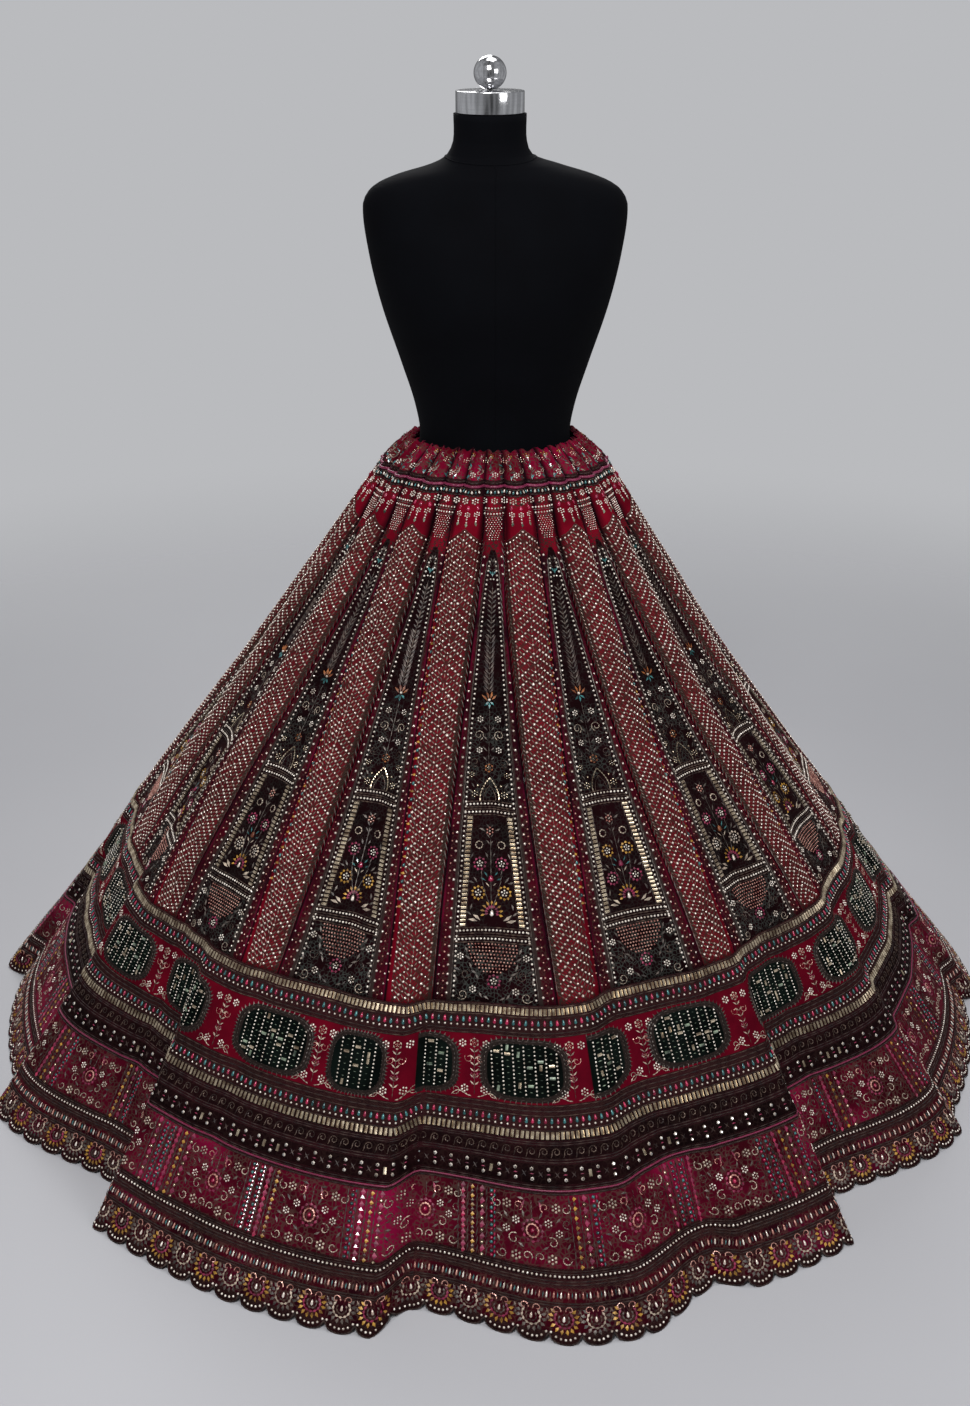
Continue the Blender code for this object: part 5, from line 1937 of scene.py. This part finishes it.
def make_torso():
    runs = np.unique(np.concatenate([np.linspace(0, ring_run[-1], 84), ring_run]))
    rows = torso_ring(runs).T
    bm = bmesh.new()
    bmesh.ops.create_circle(bm, segments=72, radius=1.0)
    level = bm.verts.layers.int.new("level")
    extrude_rows(bm, len(rows) - 1, level)
    for vert in bm.verts:
        height, half_width, half_depth, side = rows[vert[level]]
        vert.co = Vector((side + vert.co.x * half_width, vert.co.y * half_depth, height))
    rims = [edge for edge in bm.edges if edge.is_boundary]
    bmesh.ops.holes_fill(bm, edges=rims, sides=0)
    piece = finish_piece("form_torso_cover", bm, black_jersey)
    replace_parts(piece, "form_torso")
    return piece


torso = make_torso()
print("torso:", len(torso.data.polygons), "faces")

# %% Jersey seams
def torso_point(angle, run):
    height, half_width, half_depth, side = torso_ring(run)
    return Vector((side + half_width * math.sin(angle), -half_depth * math.cos(angle), height))


def seam_tube(name, points, radius, closed):
    """A thin raised seam: a curve with a round bevel, made a mesh."""
    curve = bpy.data.curves.new(name, "CURVE")
    curve.dimensions = "3D"
    curve.bevel_depth = radius
    curve.bevel_resolution = 1
    curve.use_fill_caps = not closed
    spline = curve.splines.new("POLY")
    spline.points.add(len(points) - 1)
    for spot, place in zip(spline.points, points):
        spot.co = (*place, 1)
    spline.use_cyclic_u = closed
    drawn = in_scene(name + "_line", curve)
    bpy.context.view_layer.update()
    mesh = bpy.data.meshes.new_from_object(drawn.evaluated_get(bpy.context.evaluated_depsgraph_get()))
    bpy.data.objects.remove(drawn)
    mesh.name = name
    mesh.materials.clear()
    mesh.materials.append(black_jersey)
    mesh.shade_smooth()
    return add_piece(name, mesh)


NECK_RUN = ring_run[2] + 0.004
NECK_DIP = 0.014
turns = np.linspace(0, 2 * np.pi, 72, endpoint=False)
neck_line = [torso_point(a, NECK_RUN + NECK_DIP * max(0.0, math.cos(a)) ** 2) for a in turns]
seam_tube("neck_seam", neck_line, 0.0009, True)
front_runs = np.linspace(NECK_RUN + NECK_DIP, ring_run[11] - 0.01, 60)
seam_tube("front_seam", [torso_point(0.0, run) for run in front_runs], 0.0007, False)
back_runs = np.linspace(NECK_RUN, ring_run[11] - 0.01, 60)
seam_tube("back_seam", [torso_point(math.pi, run) for run in back_runs], 0.0007, False)
print("seams: neck, front and back")

# %% [markdown]
# The cap is a spun steel disc with a short wall, and the ball is polished steel. Both are remade
# with enough segments for clean reflections. Pole and base stay as the CAD has them.

# %% Cap, ball and stand
def make_cap():
    bm = bmesh.new()
    tall = CAP_TOP - CAP_BOTTOM
    bmesh.ops.create_cone(
        bm, cap_ends=True, segments=96, radius1=CAP_RADIUS, radius2=CAP_RADIUS, depth=tall
    )
    rims = [edge for edge in bm.edges if len({round(v.co.z, 5) for v in edge.verts}) == 1]
    bmesh.ops.bevel(
        bm, geom=rims, offset=0.0012, segments=3, profile=0.5, affect="EDGES", material=-1
    )
    bmesh.ops.translate(bm, vec=(NECK_SIDE, 0, CAP_BOTTOM + tall / 2), verts=bm.verts)
    piece = finish_piece("neck_cap_steel", bm, polished_steel)
    piece.data.set_sharp_from_angle(angle=math.radians(35))
    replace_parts(piece, "neck_cap")
    return piece


def make_ball():
    bm = bmesh.new()
    bmesh.ops.create_uvsphere(bm, u_segments=48, v_segments=32, radius=BALL_RADIUS)
    middle = CAP_TOP + TOUCH_GAP + BALL_RADIUS
    bmesh.ops.translate(bm, vec=(NECK_SIDE, 0, middle), verts=bm.verts)
    piece = finish_piece("finial_ball_steel", bm, polished_steel)
    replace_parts(piece, "finial_ball")
    return piece


cap, ball = make_cap(), make_ball()
for node in ("stand_pole", "stand_base"):
    frame["nodes"][node].data.materials.clear()
    frame["nodes"][node].data.materials.append(satin_steel)
print("cap and ball:", len(cap.data.polygons), "and", len(ball.data.polygons), "faces")

# %% [markdown]
# ## Floor and light
# The floor is a plain, pale, slightly rough disc. Well past the hem it fades into a backdrop of the
# same grey, so that no horizon shows and nothing stands in the way from behind. A large soft light in
# front and above does most of the work, as the photographer's did, and weaker ones open up the
# sides, the top and the back. The room around is darker in front and brighter at the sides, in tall
# soft panes, because polished steel shows nothing but its surroundings.

# %% The floor
FLOOR_RADIUS = 3.4
FADE_FROM = 1.2
BACKDROP_GREY = "BABBBE"


def make_floor():
    made, tree, shader = new_material("pale_floor", 0.55)
    spot = own_place(tree)
    cloud = noise(tree, spot, 1.5, 3.0)
    tree.links.new(blend_colour(tree, cloud, "AAAAAE", "B2B2B6"), shader.inputs["Base Color"])
    away = add(tree, "ShaderNodeVectorMath", {0: spot}, operation="LENGTH").outputs["Value"]
    fade = remap(tree, away, FADE_FROM, FLOOR_RADIUS - 0.1, interpolation_type="SMOOTHSTEP")
    clear = add(tree, "ShaderNodeBsdfTransparent").outputs[0]
    both = add(tree, "ShaderNodeMixShader", {0: fade, 1: shader.outputs[0], 2: clear}).outputs[0]
    tree.links.new(both, tree.nodes["Material Output"].inputs["Surface"])
    bm = bmesh.new()
    bmesh.ops.create_circle(bm, cap_ends=True, segments=96, radius=FLOOR_RADIUS)
    mesh = bpy.data.meshes.new("studio_floor")
    bm.to_mesh(mesh)
    bm.free()
    mesh.materials.append(made)
    floor = in_scene("studio_floor", mesh)
    floor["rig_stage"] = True
    return floor


floor = make_floor()
print("floor:", [round(v, 2) for v in floor.dimensions])

# %% The light
LIGHTS = (
    # name, place, looks at, size in metres, power in watts
    ("key", (-0.35, -2.3, 3.0), (0.0, 0.0, 0.50), 0.9, 90.0),
    ("fill", (2.0, -2.0, 1.9), (0.0, 0.0, 0.5), 1.2, 16.0),
    ("top", (0.2, 0.5, 3.2), (0.0, 0.0, 0.4), 1.2, 20.0),
    ("back", (-0.5, 2.8, 2.9), (0.0, 0.0, 0.5), 1.4, 50.0),
)
for name, place, target, size, power in LIGHTS:
    data = bpy.data.lights.new(name, "AREA")
    data.size = size
    data.energy = power
    lamp = in_scene(name, data)
    lamp.location = place
    lamp.rotation_euler = (Vector(target) - Vector(place)).to_track_quat("-Z", "Y").to_euler()
world = bpy.data.worlds.new("studio")
world.use_nodes = True
room = world.node_tree
facing = add(room, "ShaderNodeTexCoord").outputs["Generated"]
across = reckon(room, "ABSOLUTE", add(room, "ShaderNodeSeparateXYZ", {0: facing}).outputs[0])
sides = remap(room, across, 0.25, 0.75, 0.05, 0.33)
tall = add(room, "ShaderNodeMapping", {"Vector": facing, "Scale": (5.0, 5.0, 0.6)}).outputs[0]
panes = remap(room, noise(room, tall, 1.0, 1.0), 0.40, 0.60, 0.0, 0.22)
ins = {"Color": linear("D9DBDF"), "Strength": reckon(room, "ADD", sides, panes)}
glow = add(room, "ShaderNodeBackground", ins).outputs[0]
ins = {"Color": linear(BACKDROP_GREY), "Strength": 1.0}
backdrop = add(room, "ShaderNodeBackground", ins).outputs[0]
seen = add(room, "ShaderNodeLightPath").outputs["Is Camera Ray"]
both = add(room, "ShaderNodeMixShader", {0: seen, 1: glow, 2: backdrop}).outputs[0]
room.links.new(both, room.nodes["World Output"].inputs["Surface"])
bpy.context.scene.world = world
bpy.context.scene.view_settings.view_transform = "Standard"
print("lights:", len(LIGHTS))

# %% [markdown]
# ## Last measures
# The triangles that this script adds are counted before their walls, and the box of the dressed model
# is measured. It may stand a few millimetres proud of the CAD's, as fabric does.

# %% Sizes, and the end
total = 0
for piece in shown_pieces():
    if "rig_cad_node" not in piece:
        total += sum(len(polygon.vertices) - 2 for polygon in piece.data.polygons)
print("triangles before walls:", total)
low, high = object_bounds()
